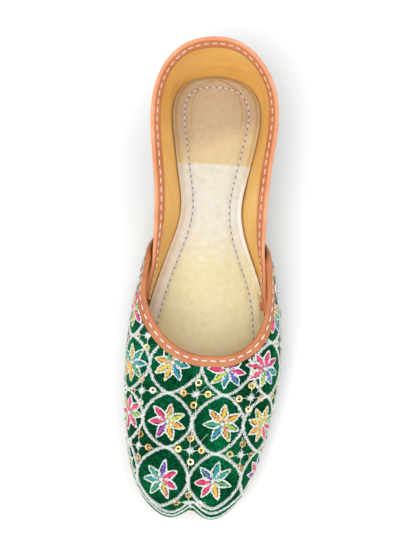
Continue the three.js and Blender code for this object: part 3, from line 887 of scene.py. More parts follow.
# Bindings: a folded strip along the edge of a wall
class Edge:
    """A run along a wall's edge, measured in millimetres, with the way into the wall at each point."""

    def __init__(self, u, v, hint_u, hint_v, round_mm=0):
        points = face_point(u, v)
        length = np.concatenate([[0], np.cumsum(np.linalg.norm(np.diff(points, axis=0), axis=1))])
        self.length = length[-1]
        even = np.linspace(0, self.length, int(self.length / 0.5))
        self.run = even
        u, v = np.interp(even, length, u), np.interp(even, length, v)
        hint_u, hint_v = np.interp(even, length, hint_u), np.interp(even, length, hint_v)
        if round_mm:
            u, v = self.rounded(u, round_mm), self.rounded(v, round_mm)
        self.u, self.v = u, v
        points = face_point(u, v)
        along, up, normal = face_frame(u, v)
        into = unit(np.cross(normal, unit(np.gradient(points, axis=0))))
        hint = along * hint_u[:, None] + up * hint_v[:, None]
        into *= np.sign((into * hint).sum(axis=1))[:, None]
        aa, au, uu = (along * along).sum(1), (along * up).sum(1), (up * up).sum(1)
        ia, iu = (into * along).sum(1), (into * up).sum(1)
        determinant = aa * uu - au * au
        self.step_u = self.rounded((ia * uu - iu * au) / determinant, max(round_mm, 2))
        self.step_v = self.rounded((iu * aa - ia * au) / determinant, max(round_mm, 2))

    @staticmethod
    def rounded(values, round_mm):
        """Averages over a few millimetres, with the ends kept."""
        reach = int(round_mm / 0.5)
        if reach < 1:
            return values
        window = np.hanning(2 * reach + 3)[1:-1]
        window /= window.sum()
        first = 2 * values[0] - values[1:reach + 1][::-1]
        last = 2 * values[-1] - values[-reach - 1:-1][::-1]
        return np.convolve(np.concatenate([first, values, last]), window, "valid")

    def into_wall(self, run, distance, lowest=0):
        u = np.interp(run, self.run, self.u) + np.interp(run, self.run, self.step_u) * distance
        v = np.interp(run, self.run, self.v) + np.interp(run, self.run, self.step_v) * distance
        return u, np.maximum(v, lowest)

    def edge_u(self, run):
        return np.interp(run, self.run, self.u)


STITCH_LENGTH = 3.5
STITCH_PITCH = 4.8
BINDING_BACK = FOLD_GAP + BINDING_THICK
NOSE = 1.2


def pucker(run, distance, stitch_in):
    """The dent under a stitch and the puff beside it."""
    line = np.exp(-((distance - stitch_in) / 0.85) ** 2)
    beat = 0.5 + 0.5 * np.cos(2 * math.pi * run / STITCH_PITCH)
    puff = 0.3 * np.exp(-((distance - stitch_in * 0.35) / 1.5) ** 2)
    return puff * (0.8 + 0.2 * beat) - line * (0.26 + 0.14 * beat)


def fold_section(rows_leg=11, rows_nose=9):
    """Round the strip: (side, distance into the wall, share round the nose, share of thickness)."""
    leg = np.linspace(0, 1, rows_leg)
    inwards = BINDING_WIDTH - (BINDING_WIDTH - 0.7) * leg
    loop = [(1, BINDING_WIDTH, 0, 0), (1, BINDING_WIDTH + 0.05, 0, 0.45), (1, BINDING_WIDTH - 0.12, 0, 0.85)]
    loop += [(1, d, 0, 1) for d in inwards[1:-1]]
    loop += [(0, 0.7, share, 1) for share in np.linspace(0, 1, rows_nose + 2)]
    loop += [(-1, d, 1, 1) for d in inwards[1:-1][::-1]]
    loop += [(-1, BINDING_WIDTH - 0.12, 1, 0.85), (-1, BINDING_WIDTH + 0.05, 1, 0.45), (-1, BINDING_WIDTH, 1, 0)]
    loop += [(-1, BINDING_WIDTH * 0.5, 1, 0), (-1, 0.9, 1, 0), (0, 0.9, 1, 0), (0, 0.9, 0, 0),
             (1, 0.9, 0, 0), (1, BINDING_WIDTH * 0.5, 0, 0)]
    return np.array(loop + loop[:1], float)


def fold_piece(name, edge, outside, inside, outer_leg, inner_leg, stitch_in, lowest, material, shade):
    """outer_leg and inner_leg give how much of each leg there is, from 0 to 1, along the run."""
    section = fold_section()
    rows = len(section) - 1
    columns = int(edge.length / 0.85)
    start = edge.run[0]

    def place(s, t):
        run = start + s * edge.length
        side, distance, nose, thick = section[np.rint(t * rows).astype(int)].T
        leg = np.where(side > 0, outer_leg(run), np.where(side < 0, inner_leg(run), 1))
        centre = 0.7
        distance = np.where(side == 0, distance, centre + (distance - centre) * np.maximum(leg, 0.02))
        u, v = edge.into_wall(run, distance, lowest)
        at_edge_u, at_edge_v = edge.into_wall(run, np.full_like(run, centre), lowest)
        high = outside(u, v) + FOLD_GAP + BINDING_THICK * thick
        low = inside(u, v, run) - FOLD_GAP - BINDING_THICK * thick
        high += pucker(run, distance, stitch_in) * (side > 0) * thick
        low -= pucker(run, distance, stitch_in) * (side < 0) * thick
        edge_high = outside(at_edge_u, at_edge_v) + FOLD_GAP + BINDING_THICK * thick
        edge_low = inside(at_edge_u, at_edge_v, run) - FOLD_GAP - BINDING_THICK * thick
        edge_high += pucker(run, centre, stitch_in) * thick
        edge_low -= pucker(run, centre, stitch_in) * thick
        turn = nose * math.pi
        swing = np.sin(turn) * (NOSE + centre)
        on_nose = side == 0
        u2, v2 = edge.into_wall(run, np.where(on_nose, centre - swing * (thick > 0), distance), lowest)
        middle, half = (edge_high + edge_low) / 2, (edge_high - edge_low) / 2
        offset = np.where(on_nose, middle + half * np.cos(turn), np.where(side > 0, high, low))
        return wall_point(np.where(on_nose, u2, u), np.where(on_nose, v2, v), offset)

    piece = grid_piece(name, columns, rows, place)
    # Painted light and shade for each row of the section, from shade(), stored for the binding's material
    edge_share = np.rint(np.linspace(0, 1, rows + 1) * rows).astype(int)
    shades = np.array([shade(*section[i]) for i in edge_share])
    mesh = piece.data
    colours = np.ones((len(mesh.vertices), 4), np.float32)
    colours[:, :3] = np.repeat(shades, columns + 1, axis=0)[:len(mesh.vertices)]
    layer = mesh.color_attributes.new("edge_shade", "FLOAT_COLOR", "POINT")
    layer.data.foreach_set("color", colours.ravel())
    recalculate(piece)
    close_ends(piece)
    recalculate(piece)
    smooth(piece, 60)
    dress(piece, material)
    return piece


def stitches_along(threads, edge, offset_at, sign, stitch_in, first, last, colour, lowest=0):
    count = int((last - first) / STITCH_PITCH)
    share = np.linspace(0, 1, 7)
    for i in range(count):
        start = first + i * STITCH_PITCH + RANDOM.uniform(-0.15, 0.15)
        run = start + share * STITCH_LENGTH
        u, v = edge.into_wall(run, np.full(7, stitch_in) + RANDOM.uniform(-0.08, 0.08), lowest)
        proud = 0.34 * np.sin(math.pi * share) ** 0.6 - 0.12
        path = wall_point(u, v, offset_at(u, v, run) + sign * proud)
        normals = face_frame(u, v)[2] * sign
        threads.add(path, normals, 0.85, 0.6, colour)


def throat_edge():
    t = np.linspace(0, 1, 60)
    wing_u, wing_v = wing_edge(t), t * vamp_top(wing_edge(t))
    top_u = np.linspace(WING_TOP, STATIONS - WING_TOP, 400)[1:-1]
    u = np.concatenate([wing_u, top_u, STATIONS - wing_u[::-1]])
    v = np.concatenate([wing_v, vamp_top(top_u), wing_v[::-1]])
    side_u = np.concatenate([np.ones(60), np.zeros(398), -np.ones(60)])
    side_v = np.concatenate([-0.02 * t, -np.ones(398), -0.02 * t[::-1]])
    return Edge(u, v, side_u, side_v, round_mm=5)


THROAT_STITCH_IN = 1.6
COLLAR_STITCH_IN = 2.0


def on_throat(run_u):
    """1 along the throat, 0 on the wings, where the vamp lies on the quarter."""
    return smoothstep(from_heel(run_u), THROAT_FOLD_START - 0.5, THROAT_FOLD_START)


def make_throat_binding():
    edge = throat_edge()

    def inside(u, v, run):
        under = GAP + FOLD_GAP + BINDING_THICK
        return mix(np.full_like(u, under), vamp_inside(u, v), on_throat(edge.edge_u(run)))

    # Painted light and shade: the crown of the fold painted lighter, the outer leg a little darker, the inner leg
    # darker still as painted shade inside the vamp
    def shade(side, distance, nose, thick):
        if side == 0:
            return mix(1.0, 1.06, math.sin(nose * math.pi)) * np.array([1, 1, 1])
        return np.array([0.97, 0.93, 0.9]) if side > 0 else np.array([0.86, 0.78, 0.72])

    piece = fold_piece("throat_binding_leather", edge, vamp_outside, inside, np.ones_like,
                       lambda run: on_throat(edge.edge_u(run)), THROAT_STITCH_IN, 0, THROAT_LEATHER, shade)
    threads = Threads()
    cream = linear("#eae1d8")
    surface = FOLD_GAP + BINDING_THICK - 0.3
    stitches_along(threads, edge, lambda u, v, run: vamp_outside(u, v) + surface, 1,
                   THROAT_STITCH_IN, 2, edge.length - 2, cream)
    within = edge.run[on_throat(edge.u) > 0.99]
    stitches_along(threads, edge, lambda u, v, run: vamp_inside(u, v) - surface, -1,
                   THROAT_STITCH_IN, within[0], within[-1], cream)
    stitching = threads.piece("throat_stitches")
    dress(stitching, COTTON)
    return piece, stitching


COLLAR_PUFF = 1.0


def make_collar_binding():
    u = np.linspace(-QUARTER_END_MEDIAL, QUARTER_END_LATERAL, 700)
    edge = Edge(u, quarter_top(u), np.zeros_like(u), -np.ones_like(u), round_mm=2)
    lowest = TAB_LOWEST

    def full(run):
        return 1 - smoothstep(np.abs(edge.edge_u(run)), COLLAR_FOLD_END - 0.25, COLLAR_FOLD_END)

    def outside(u, v):
        at = np.abs(np.mod(u + LAST_ROW, STATIONS) - LAST_ROW)
        hidden = smoothstep(at, COLLAR_FOLD_END - 0.25, COLLAR_FOLD_END + 0.1)
        return -hidden * (FOLD_GAP + BINDING_THICK) - front_lean(u, v)

    def inside(u, v, run):
        distance = (quarter_top(u) - v) * rib_length(u)
        return quarter_inside(u, v) - COLLAR_PUFF * smoothstep(distance, 0.5, 3.5)

    # Painted light and shade: the top of the fold painted lighter, turning to painted shade on its inner side, and the
    # inner leg darker as painted shade inside the shoe
    def shade(side, distance, nose, thick):
        if side == 0:
            top = np.array([1.06, 1.08, 1.1])
            return mix(top, np.array([0.86, 0.78, 0.7]), float(smoothstep(nose, 0.6, 1)))
        return np.array([1, 0.97, 0.94]) if side > 0 else np.array([0.76, 0.64, 0.5])

    piece = fold_piece("collar_binding_leather", edge, outside, inside, full, np.ones_like,
                       COLLAR_STITCH_IN, lowest, COLLAR_LEATHER, shade)
    threads = Threads()
    cream = linear("#ecdfca")
    surface = FOLD_GAP + BINDING_THICK - 0.3
    stitches_along(threads, edge, lambda u, v, run: inside(u, v, run) - surface, -1,
                   COLLAR_STITCH_IN, 3, edge.length - 3, cream, lowest)
    within = edge.run[full(edge.run) > 0.99]
    stitches_along(threads, edge, lambda u, v, run: np.full_like(u, surface), 1,
                   COLLAR_STITCH_IN, within[0], within[-1], cream, lowest)
    stitching = threads.piece("collar_stitches")
    dress(stitching, COTTON)
    return piece, stitching


INSOLE_STITCH_PITCH = 3.6


def top_of(piece):
    """Gives the height of the piece's top at places in millimetres."""
    mesh = piece.data
    corners = [tuple(vertex.co) for vertex in mesh.vertices]
    tree = BVHTree.FromPolygons(corners, [tuple(face.vertices) for face in mesh.polygons])

    def height(points):
        starts = to_frame(points * [1, 1, 0] + [0, 0, 100])
        hits = [tree.ray_cast(Vector(start), Vector((0, 0, -1)))[0] for start in starts]
        return np.array([hit.z * 1000 for hit in hits])
    return height


def make_insole_stitches(insole):
    height = top_of(insole)
    u = np.linspace(0, STATIONS, 2000)
    line = rim_point(u, INSOLE_EDGE - CHANNEL_IN)
    length = np.concatenate([[0], np.cumsum(np.linalg.norm(np.diff(line[:, :2], axis=0), axis=1))])
    threads = Threads()
    share = np.linspace(0, 1, 6)
    for start in np.arange(0, length[-1] - 3, INSOLE_STITCH_PITCH):
        run = start + share * 2.5 + RANDOM.uniform(-0.1, 0.1)
        path = np.stack([np.interp(run, length, line[:, 0]), np.interp(run, length, line[:, 1]), run * 0], 1)
        # A dark flat mark at each needle hole: painted shade in the hole
        hole = path[:2] + (path[-1] - path[0]) * [[-0.42], [-0.06]]
        path[:, 2] = height(path) - 0.1 + 0.5 * np.sin(math.pi * share) ** 0.6
        hole[:, 2] = height(hole) - 0.05
        threads.add(path, np.tile([0, 0, 1.0], (6, 1)), 0.85, 0.6, linear("#e2dcea"))
        threads.add(hole, np.tile([0, 0, 1.0], (2, 1)), 1.0, 0.3, linear("#8b8390"), taper=False)
    stitching = threads.piece("insole_stitches")
    dress(stitching, COTTON)
    return stitching


# Embroidery: charted flat in millimetres. Across is measured over the velvet from the middle line,
# along runs from heel to toe in plan. Each slice of the vamp is unrolled to find where it lies
CHART_BACK, CHART_FRONT = 46, -122
ACROSS_MOST, ACROSS_STEP = 80, 0.5
MIDDLE_LINE = ((-125, -2.6), (-101.7, -2.2), (-71, -1.0), (-42, 0), (70, 0))
SIDE_PULL = ((-118, 8.0), (-101.5, 6.0), (-71, 3.0), (-42, 1.2), (-12, 0), (46, 0))
LOBE_MIDDLE = 12
LOBES_START = -107.5


def middle_line(y):
    places, offsets = zip(*MIDDLE_LINE)
    return np.interp(y, places, offsets)


def vamp_face_tree():
    """The vamp's velvet face alone."""
    columns, rows = 460, 150
    s, t = np.meshgrid(np.linspace(0, 1, columns), np.linspace(0, 1, rows))
    u, v = vamp_patch(s.ravel(), t.ravel())
    points = wall_point(u, v, creased(vamp_outside)(u, v))
    first = (np.arange(rows - 1)[:, None] * columns + np.arange(columns - 1)).ravel()
    faces = np.stack([first, first + 1, first + columns + 1, first + columns], 1)
    return BVHTree.FromPolygons(points.tolist(), faces.tolist())


def slice_of_vamp(tree, y, side):
    """Distance over the velvet and place, for the half of the slice at y on one side."""
    centre = float(middle_line(y))
    in_lobe = y < LOBES_START
    origin = Vector((side * LOBE_MIDDLE if in_lobe else centre, y, float(deck_height(y)) + 3))
    found = []
    for degrees in np.arange(-50, 200 if in_lobe else 90.01, 1.0):
        angle = math.radians(degrees)
        hit = tree.ray_cast(origin, Vector((side * math.cos(angle), 0, math.sin(angle))), 90)[0]
        past_middle = hit is not None and side * (hit.x - centre) < 0
        if found and (hit is None or past_middle):
            break
        if hit is not None:
            found.append(tuple(hit))
    if len(found) < 3:
        return None
    found = np.array(found)
    run = np.concatenate([[0], np.cumsum(np.linalg.norm(np.diff(found, axis=0), axis=1))])
    top = int(found[:, 2].argmax()) if in_lobe else len(found) - 1
    reference = 0 if top == len(found) - 1 and abs(found[top, 0] - centre) < 1 else abs(found[top, 0] - centre)
    across = reference + run[top] - run
    return across[::-1], found[::-1]


def chart_table():
    tree = vamp_face_tree()
    ys = np.arange(CHART_FRONT, CHART_BACK + 1, 1.0)
    grid = np.arange(-ACROSS_MOST, ACROSS_MOST + ACROSS_STEP / 2, ACROSS_STEP)
    places = np.full((len(ys), len(grid), 3), np.nan)
    for i, y in enumerate(ys):
        for side in (-1, 1):
            found = slice_of_vamp(tree, y, side)
            if found is None:
                continue
            across, points = found
            half = grid * side >= 0
            wanted = np.abs(grid[half])
            for axis in range(3):
                least = points[0, axis] if across[0] < 1.5 else np.nan
                places[i, half, axis] = np.interp(wanted, across, points[:, axis], left=least, right=np.nan)
    facing = unit(np.cross(np.gradient(places, axis=1), np.gradient(places, axis=0)))
    return places, facing


PLACES, FACING = chart_table()


def on_vamp(across, along):
    """Places charted points on the velvet, with the way out of it. Not a number where there is none."""
    fronts, pulls = zip(*SIDE_PULL)
    y = along + np.interp(along, fronts, pulls) * (across / 45) ** 2
    row = np.clip(y - CHART_FRONT, 0, PLACES.shape[0] - 1.001)
    column = np.clip((across + ACROSS_MOST) / ACROSS_STEP, 0, PLACES.shape[1] - 1.001)
    i, j = np.floor(row).astype(int), np.floor(column).astype(int)
    f, g = (row - i)[..., None], (column - j)[..., None]

    def between(table):
        return ((1 - f) * ((1 - g) * table[i, j] + g * table[i, j + 1])
                + f * ((1 - g) * table[i + 1, j] + g * table[i + 1, j + 1]))
    return between(PLACES), unit(between(FACING))


def covered_edges():
    """Points along the throat edge and along the sole; how far the needle keeps from each is set below."""
    edge = throat_edge()
    throat = wall_point(edge.u, edge.v, vamp_outside(edge.u, edge.v))
    u = np.linspace(WING_FOOT, STATIONS - WING_FOOT, 500)
    sole = wall_point(u, np.zeros_like(u), vamp_outside(u, np.zeros_like(u)))
    return throat, sole


THROAT_LINE, SOLE_LINE = covered_edges()
THROAT_CLEAR = 4.9
SOLE_CLEAR = 12


def nearest_distance(points, line):
    gaps = []
    for block in np.array_split(points, max(1, len(points) // 2000)):
        gaps.append(np.linalg.norm(block[:, None] - line[None], axis=2).min(axis=1))
    return np.concatenate(gaps)


class Needlework:
    """Short stitches between charted points, gathered into one piece."""

    def __init__(self, place=on_vamp, sides=4, steps=4):
        self.place, self.sides, self.steps = place, sides, steps
        self.stitches = []

    def stitch(self, start, end, width, lift, colour, end_colour=None):
        self.stitches.append((*start, *end, width, lift, *colour, *(end_colour or colour)))

    def piece(self, name, material, throat_clear=THROAT_CLEAR, sole_clear=SOLE_CLEAR):
        data = np.array(self.stitches, float)
        share = np.linspace(0, 1, self.steps)
        across = mix(data[:, 0, None], data[:, 2, None], share)
        along = mix(data[:, 1, None], data[:, 3, None], share)
        points, facing = self.place(across, along)
        whole = ~np.isnan(points).any(axis=(1, 2)) & ~np.isnan(facing).any(axis=(1, 2))
        data, points, facing = data[whole], points[whole], facing[whole]
        middle = points.mean(axis=1)
        clear = nearest_distance(middle, THROAT_LINE) > throat_clear
        clear &= nearest_distance(middle, SOLE_LINE) > sole_clear
        data, points, facing = data[clear], points[clear], facing[clear]
        arch = 0.25 + 0.75 * np.sin(math.pi * share) ** 0.7
        path = points + facing * (data[:, 5, None] * arch)[..., None]
        tangent = unit(np.gradient(path, axis=1))
        sideways = unit(np.cross(tangent, facing))
        raised = unit(np.cross(sideways, tangent))
        slim = np.ones(self.steps)
        slim[0] = slim[-1] = 0.45
        half = (data[:, 4, None] / 2 * slim)[..., None, None]
        angle = (np.arange(self.sides) + 0.5) / self.sides * 2 * math.pi
        ring = (np.cos(angle)[:, None] * sideways[:, :, None] + 0.75 * np.sin(angle)[:, None] * raised[:, :, None])
        corners = path[:, :, None] + ring * half
        count = len(data)
        base = np.arange(count)[:, None, None] * self.steps * self.sides
        low = np.arange(self.steps - 1)[None, :, None] * self.sides
        k = np.arange(self.sides)[None, None, :]
        after = (k + 1) % self.sides
        walls = np.stack([base + low + k, base + low + self.sides + k, base + low + self.sides + after,
                          base + low + after], -1).reshape(-1, 4)
        near = (base[:, :, 0] + np.arange(self.sides)).tolist()
        far = (base[:, :, 0] + (self.steps - 1) * self.sides + np.arange(self.sides)[::-1]).tolist()
        shade = mix(data[:, None, 6:9], data[:, None, 9:12], share[None, :, None])
        shade = np.concatenate([shade, np.ones((count, self.steps, 1))], axis=2)
        colours = np.repeat(shade.reshape(-1, 4), self.sides, axis=0)
        made = array_piece(name, to_frame(corners.reshape(-1, 3)), walls.tolist() + near + far, colours)
        dress(made, material)
        return made


SILVER = linear("#f3f7f2")
SILVER_DULL = linear("#cfd9d1")
SILVER_BAND = 1.85
# Where neighbouring cells touch: for each row its place along and where its side nodes lie across,
# and for each line between rows its place along at both sides and where the cells' ends lie across
LATTICE_SIDES = (
    (17.5, (-78, -52, -28, 0, 28, 52, 78)),
    (-12.5, (-78, -51, -28, 1, 28.5, 51, 78)),
    (-42.0, (-76, -50, -26.2, 1.7, 28.2, 50, 76)),
    (-71.6, (-76, -51, -27.8, -0.8, 26.4, 49, 76)),
    (-102.3, (-76, -52, -29.7, 0, 28.4, 53, 76)),
)
LATTICE_ENDS = (
    ((32.3, 32.3), (-65, -40, -14, 14, 40, 65)),
    ((2.5, 2.5), (-65, -39.5, -14, 14.2, 40, 65)),
    ((-27.3, -27.3), (-64, -39, -14, 14.5, 39, 64)),
    ((-56.9, -56.6), (-63, -39.5, -14.9, 14.9, 39, 63)),
    ((-85.6, -87.6), (-63, -39.5, -13.0, 12.4, 38.5, 63)),
    ((-116.6, -116.6), (-64, -41, -14.2, 14, 41, 64)),
)


def silver():
    share = RANDOM.uniform(0, 1)
    return tuple(mix(np.array(SILVER_DULL), np.array(SILVER), share))


def band_of_stitches(work, line, width, step, lift, closed=False):
    """Zigzag satin along a line of charted points, with the loose ends that make it fuzzy."""
    length = np.concatenate([[0], np.cumsum(np.linalg.norm(np.diff(line, axis=0), axis=1))])
    run = np.arange(0, length[-1], step)
    place = np.stack([np.interp(run, length, line[:, 0]), np.interp(run, length, line[:, 1])], 1)
    ahead = np.stack([np.interp(run + 0.4, length, line[:, 0]), np.interp(run + 0.4, length, line[:, 1])], 1)
    behind = np.stack([np.interp(run - 0.4, length, line[:, 0]), np.interp(run - 0.4, length, line[:, 1])], 1)
    tangent = unit(ahead - behind)
    square = np.stack([-tangent[:, 1], tangent[:, 0]], 1)
    for i in range(len(run)):
        reach = width / 2 * RANDOM.uniform(0.86, 1.13)
        slant = (1 if i % 2 else -1) * RANDOM.uniform(0.4, 1.0)
        shift = RANDOM.uniform(-0.15, 0.15)
        start = place[i] - square[i] * (reach + shift) - tangent[i] * slant
        end = place[i] + square[i] * (reach - shift) + tangent[i] * slant
        work.stitch(start, end, 0.7, lift * RANDOM.uniform(0.75, 1.25), silver())


def cell_line(left, right, back, front, along, back_along, front_along):
    """A rounded cell through its four nodes. Its sides run together with its neighbours' near them."""
    turn = np.linspace(0, 2 * math.pi, 121)
    height = np.sin(turn)
    half = 0.5 * np.abs(np.cos(turn)) + 0.5 * np.cos(math.pi / 2 * height)
    end_across = np.where(height > 0, back, front)
    end_along = np.where(height > 0, back_along, front_along)
    side = np.where(np.cos(turn) > 0, right, left)
    return np.stack([mix(end_across, side, half), mix(along, end_along, np.abs(height))], 1)


def make_lattice():
    work = Needlework()
    for row, (along, sides) in enumerate(LATTICE_SIDES):
        (back_alongs, backs), (front_alongs, fronts) = LATTICE_ENDS[row], LATTICE_ENDS[row + 1]
        for left, right, back, front in zip(sides[:-1], sides[1:], backs, fronts):
            lateral = int(left + right > 0)
            line = cell_line(left, right, back, front, along, back_alongs[lateral], front_alongs[lateral])
            band_of_stitches(work, line, SILVER_BAND, 0.54, 0.6)
    return work.piece("lattice_silver_thread", SILVER_THREAD, sole_clear=9)


# Silk colours of the petals
SILKS = {
    "pink": "#f23d7c", "hot_pink": "#ec1f6b", "coral": "#f7686a", "red": "#dd3450", "lime": "#c8d84a",
    "yellow": "#f2cf4e", "orange": "#f3b033", "magenta": "#cf35a0", "purple": "#7d45b2", "violet": "#6a58bd",
    "teal": "#159c9e", "blue": "#1787b4", "sea": "#2aa678", "green": "#4fb06a", "olive": "#6d9636",
}
# Each flower: across, along, turn in degrees, then its petals clockwise from the one towards the heel,
# as the silk at the base and at the tip
FLOWERS = (
    (-14.0, -40.8, 12, "orange-yellow sea-teal teal-teal blue-teal yellow-orange yellow-yellow orange-orange sea-sea"),
    (15.2, -43.2, 6, "pink-hot_pink magenta-purple magenta-hot_pink violet-blue teal-blue lime-lime pink-hot_pink coral-pink"),
    (-13.9, -71.8, 8, "lime-coral lime-lime orange-orange yellow-orange purple-magenta pink-pink hot_pink-pink"),
    (15.0, -71.6, 4, "orange-yellow orange-orange lime-green coral-lime teal-blue sea-sea orange-orange"),
    (-14.2, -102.8, 6, "purple-violet hot_pink-pink pink-hot_pink lime-coral sea-sea teal-teal green-teal"),
    (13.1, -102.0, 8, "teal-teal teal-sea olive-green yellow-orange hot_pink-pink hot_pink-hot_pink purple-teal"),
    (-38, -42.0, 0, "yellow-lime teal-sea teal-teal sea-green orange-orange yellow-orange orange-yellow teal-sea"),
    (35.5, -41.5, 10, "hot_pink-pink magenta-hot_pink teal-teal violet-blue green-lime coral-pink hot_pink-red pink-pink"),
    (-37.8, -69.4, 5, "pink-hot_pink coral-pink green-lime pink-coral hot_pink-pink lime-green pink-pink coral-lime"),
    (38.6, -72.5, 15, "orange-yellow lime-green hot_pink-red red-coral orange-yellow orange-orange yellow-orange lime-yellow"),
    (-42, -101.3, 0, "orange-yellow lime-lime yellow-orange teal-sea orange-orange coral-pink sea-teal yellow-lime"),
    (43, -101.3, 0, "purple-violet hot_pink-pink sea-teal lime-green teal-blue orange-yellow magenta-purple pink-coral"),
    (-39.5, -12.5, 8, "pink-hot_pink sea-teal lime-lime magenta-pink orange-yellow teal-sea coral-pink yellow-orange"),
    (39.5, -12.5, 0, "orange-yellow yellow-orange sea-green teal-blue pink-pink hot_pink-coral lime-lime orange-orange"),
    (-40, 17.5, 0, "teal-sea orange-yellow pink-hot_pink lime-green purple-magenta coral-pink sea-teal yellow-lime"),
    (40, 17.5, 5, "pink-pink lime-green teal-sea orange-yellow violet-blue hot_pink-pink yellow-orange sea-green"),
    (-64, -12.5, 5, "teal-sea orange-yellow pink-pink lime-green purple-magenta coral-pink sea-teal"),
    (64, -12.5, 0, "orange-yellow pink-hot_pink teal-sea lime-lime magenta-pink yellow-orange sea-green"),
    (-64, 17.5, 0, "pink-coral yellow-orange teal-sea lime-green hot_pink-pink orange-yellow sea-teal"),
    (64, 17.5, 0, "lime-green teal-blue orange-yellow pink-pink sea-green coral-pink yellow-orange"),
)
PETAL_BASE, PETAL_TIP, PETAL_HALF = 1.9, 9.2, 1.3


def petal_half_width(share):
    return PETAL_HALF * np.sin(math.pi * np.clip(share, 0, 1) ** 0.85) ** 0.58


def make_flowers():
    silk, outline, heart = Needlework(), Needlework(), Needlework()
    for across, along, turn, petals in FLOWERS:
        centre = np.array([across, along])
        petals = petals.split()
        for number, dyes in enumerate(petals):
            base_dye, tip_dye = (linear(SILKS[dye]) for dye in dyes.split("-"))
            angle = math.radians(turn + RANDOM.uniform(-5, 5)) + number * 2 * math.pi / len(petals)
            axis = np.array([math.sin(angle), math.cos(angle)])
            square = np.array([axis[1], -axis[0]])
            tip = PETAL_TIP * RANDOM.uniform(0.92, 1.06)
            wide = RANDOM.uniform(0.88, 1.1)
            for number_across, share in enumerate(np.linspace(0.06, 0.95, 7)):
                half = max(0.35, petal_half_width(share) * wide)
                lean = 0.2 * half
                low = centre + axis * mix(PETAL_BASE, tip, share - lean) - square * half
                high = centre + axis * mix(PETAL_BASE, tip, share + lean) + square * half
                # Alternate stitches painted lighter and darker, as painted light and shade on the satin's ridges, with
                # a little random tone
                light = (1.12, 0.76)[number_across % 2] * RANDOM.uniform(0.92, 1.08)
                dye = tuple(mix(np.array(base_dye), np.array(tip_dye), share) * light)
                silk.stitch(low, high, 0.98, 0.8 * RANDOM.uniform(0.9, 1.15), dye)
            for side, gap in ((1, 1.3), (-1, 0.9), (1, 0.7), (-1, 1.4)):
                ends = np.linspace(0, 1.07, 6)
                line = [centre + axis * mix(PETAL_BASE * 0.7, tip * 1.05, share)
                        + square * side * (petal_half_width(min(share, 1)) * wide + gap * (1.12 - share))
                        + RANDOM.uniform(-0.2, 0.2, 2) for share in ends]
                for first, second in zip(line[:-1], line[1:]):
                    over = (second - first) * 0.12
                    outline.stitch(first - over, second + over, 0.9, 0.5 * RANDOM.uniform(0.8, 1.2), silver())
        for _ in range(24):
            angle, reach = RANDOM.uniform(0, math.pi), RANDOM.uniform(0.8, 1.6)
            spot = centre + RANDOM.uniform(-0.75, 0.75, 2)
            arm = np.array([math.cos(angle), math.sin(angle)]) * reach
            heart.stitch(spot - arm, spot + arm, 0.5, RANDOM.uniform(0.8, 1.15), silver())
    return (silk.piece("petals_silk", SILK_THREAD), outline.piece("petal_outlines_silver_thread", SILVER_THREAD),
            heart.piece("flower_hearts_silver_thread", SILVER_THREAD))


# Gaps of the lattice: a silver knot with four sequins on threads
GAPS = (
    # across, along, and how far the cross is squashed between the cells
    (-28, 2.5, 1), (28, 2.5, 1), (-51, 2.5, 0.9), (51, 2.5, 0.9),
    (-28, -27.3, 1), (28.5, -27.3, 1), (-50.5, -27.3, 0.9), (50.5, -27.3, 0.9),
    (-29.5, -56.8, 1), (0, -56.4, 1), (29, -57.6, 1), (-50.5, -56.8, 0.9), (50, -56.8, 0.9),
    (-29.4, -87.0, 1), (-0.4, -86.2, 1), (26.6, -88.6, 1), (-51.5, -86.8, 0.9), (51, -86.8, 0.9),
    (0.6, -113.4, 0.62),
)
SEQUIN_REACH = 6.3
SEQUIN_OUTER, SEQUIN_HOLE = 1.95, 0.75
SEQUIN_FOILS = ("#efdf9c", "#e9d488", "#f8f1dc", "#c99f5c", "#e6cf86", "#d3b06a", "#f2e6b4")


def make_gap_threads():
    work = Needlework()
    for across, along, squash in GAPS:
        centre = np.array([across, along])
        for _ in range(34):
            angle, reach = RANDOM.uniform(0, math.pi), RANDOM.uniform(0.8, 1.8)
            spot = centre + RANDOM.uniform(-1, 1, 2) * (1, squash)
            arm = np.array([math.cos(angle), math.sin(angle) * squash]) * reach
            work.stitch(spot - arm, spot + arm, 0.5, RANDOM.uniform(0.6, 1.0), silver())
        for angle in (0, 90, 180, 270):
            way = np.array([math.sin(math.radians(angle)), math.cos(math.radians(angle)) * squash])
            bow = np.array([way[1], -way[0]]) * RANDOM.uniform(-0.3, 0.3)
            stops = [centre + way * reach + bow * math.sin(reach / 9 * math.pi) for reach in (1, 3.2, 5.6, 7.9, 9.6)]
            for first, second in zip(stops[:-1], stops[1:]):
                work.stitch(first, second, 0.56, 0.55, silver())
    for start, end in (((2.0, -55.0), (9.5, -47.5)), ((1.5, -84.5), (8.0, -77.0)), ((31.5, -55), (37, -49)),
                       ((22.5, -80), (27.5, -76)), ((-20, -88), (-15.5, -86.6)), ((12, -86.7), (17, -88.8))):
        first, second = np.array(start), np.array(end)
        for i in range(5):
            work.stitch(mix(first, second, i / 5 - 0.02), mix(first, second, (i + 1) / 5 + 0.02), 0.3, 0.45, silver())
    return work.piece("gap_knots_silver_thread", SILVER_THREAD, sole_clear=7)


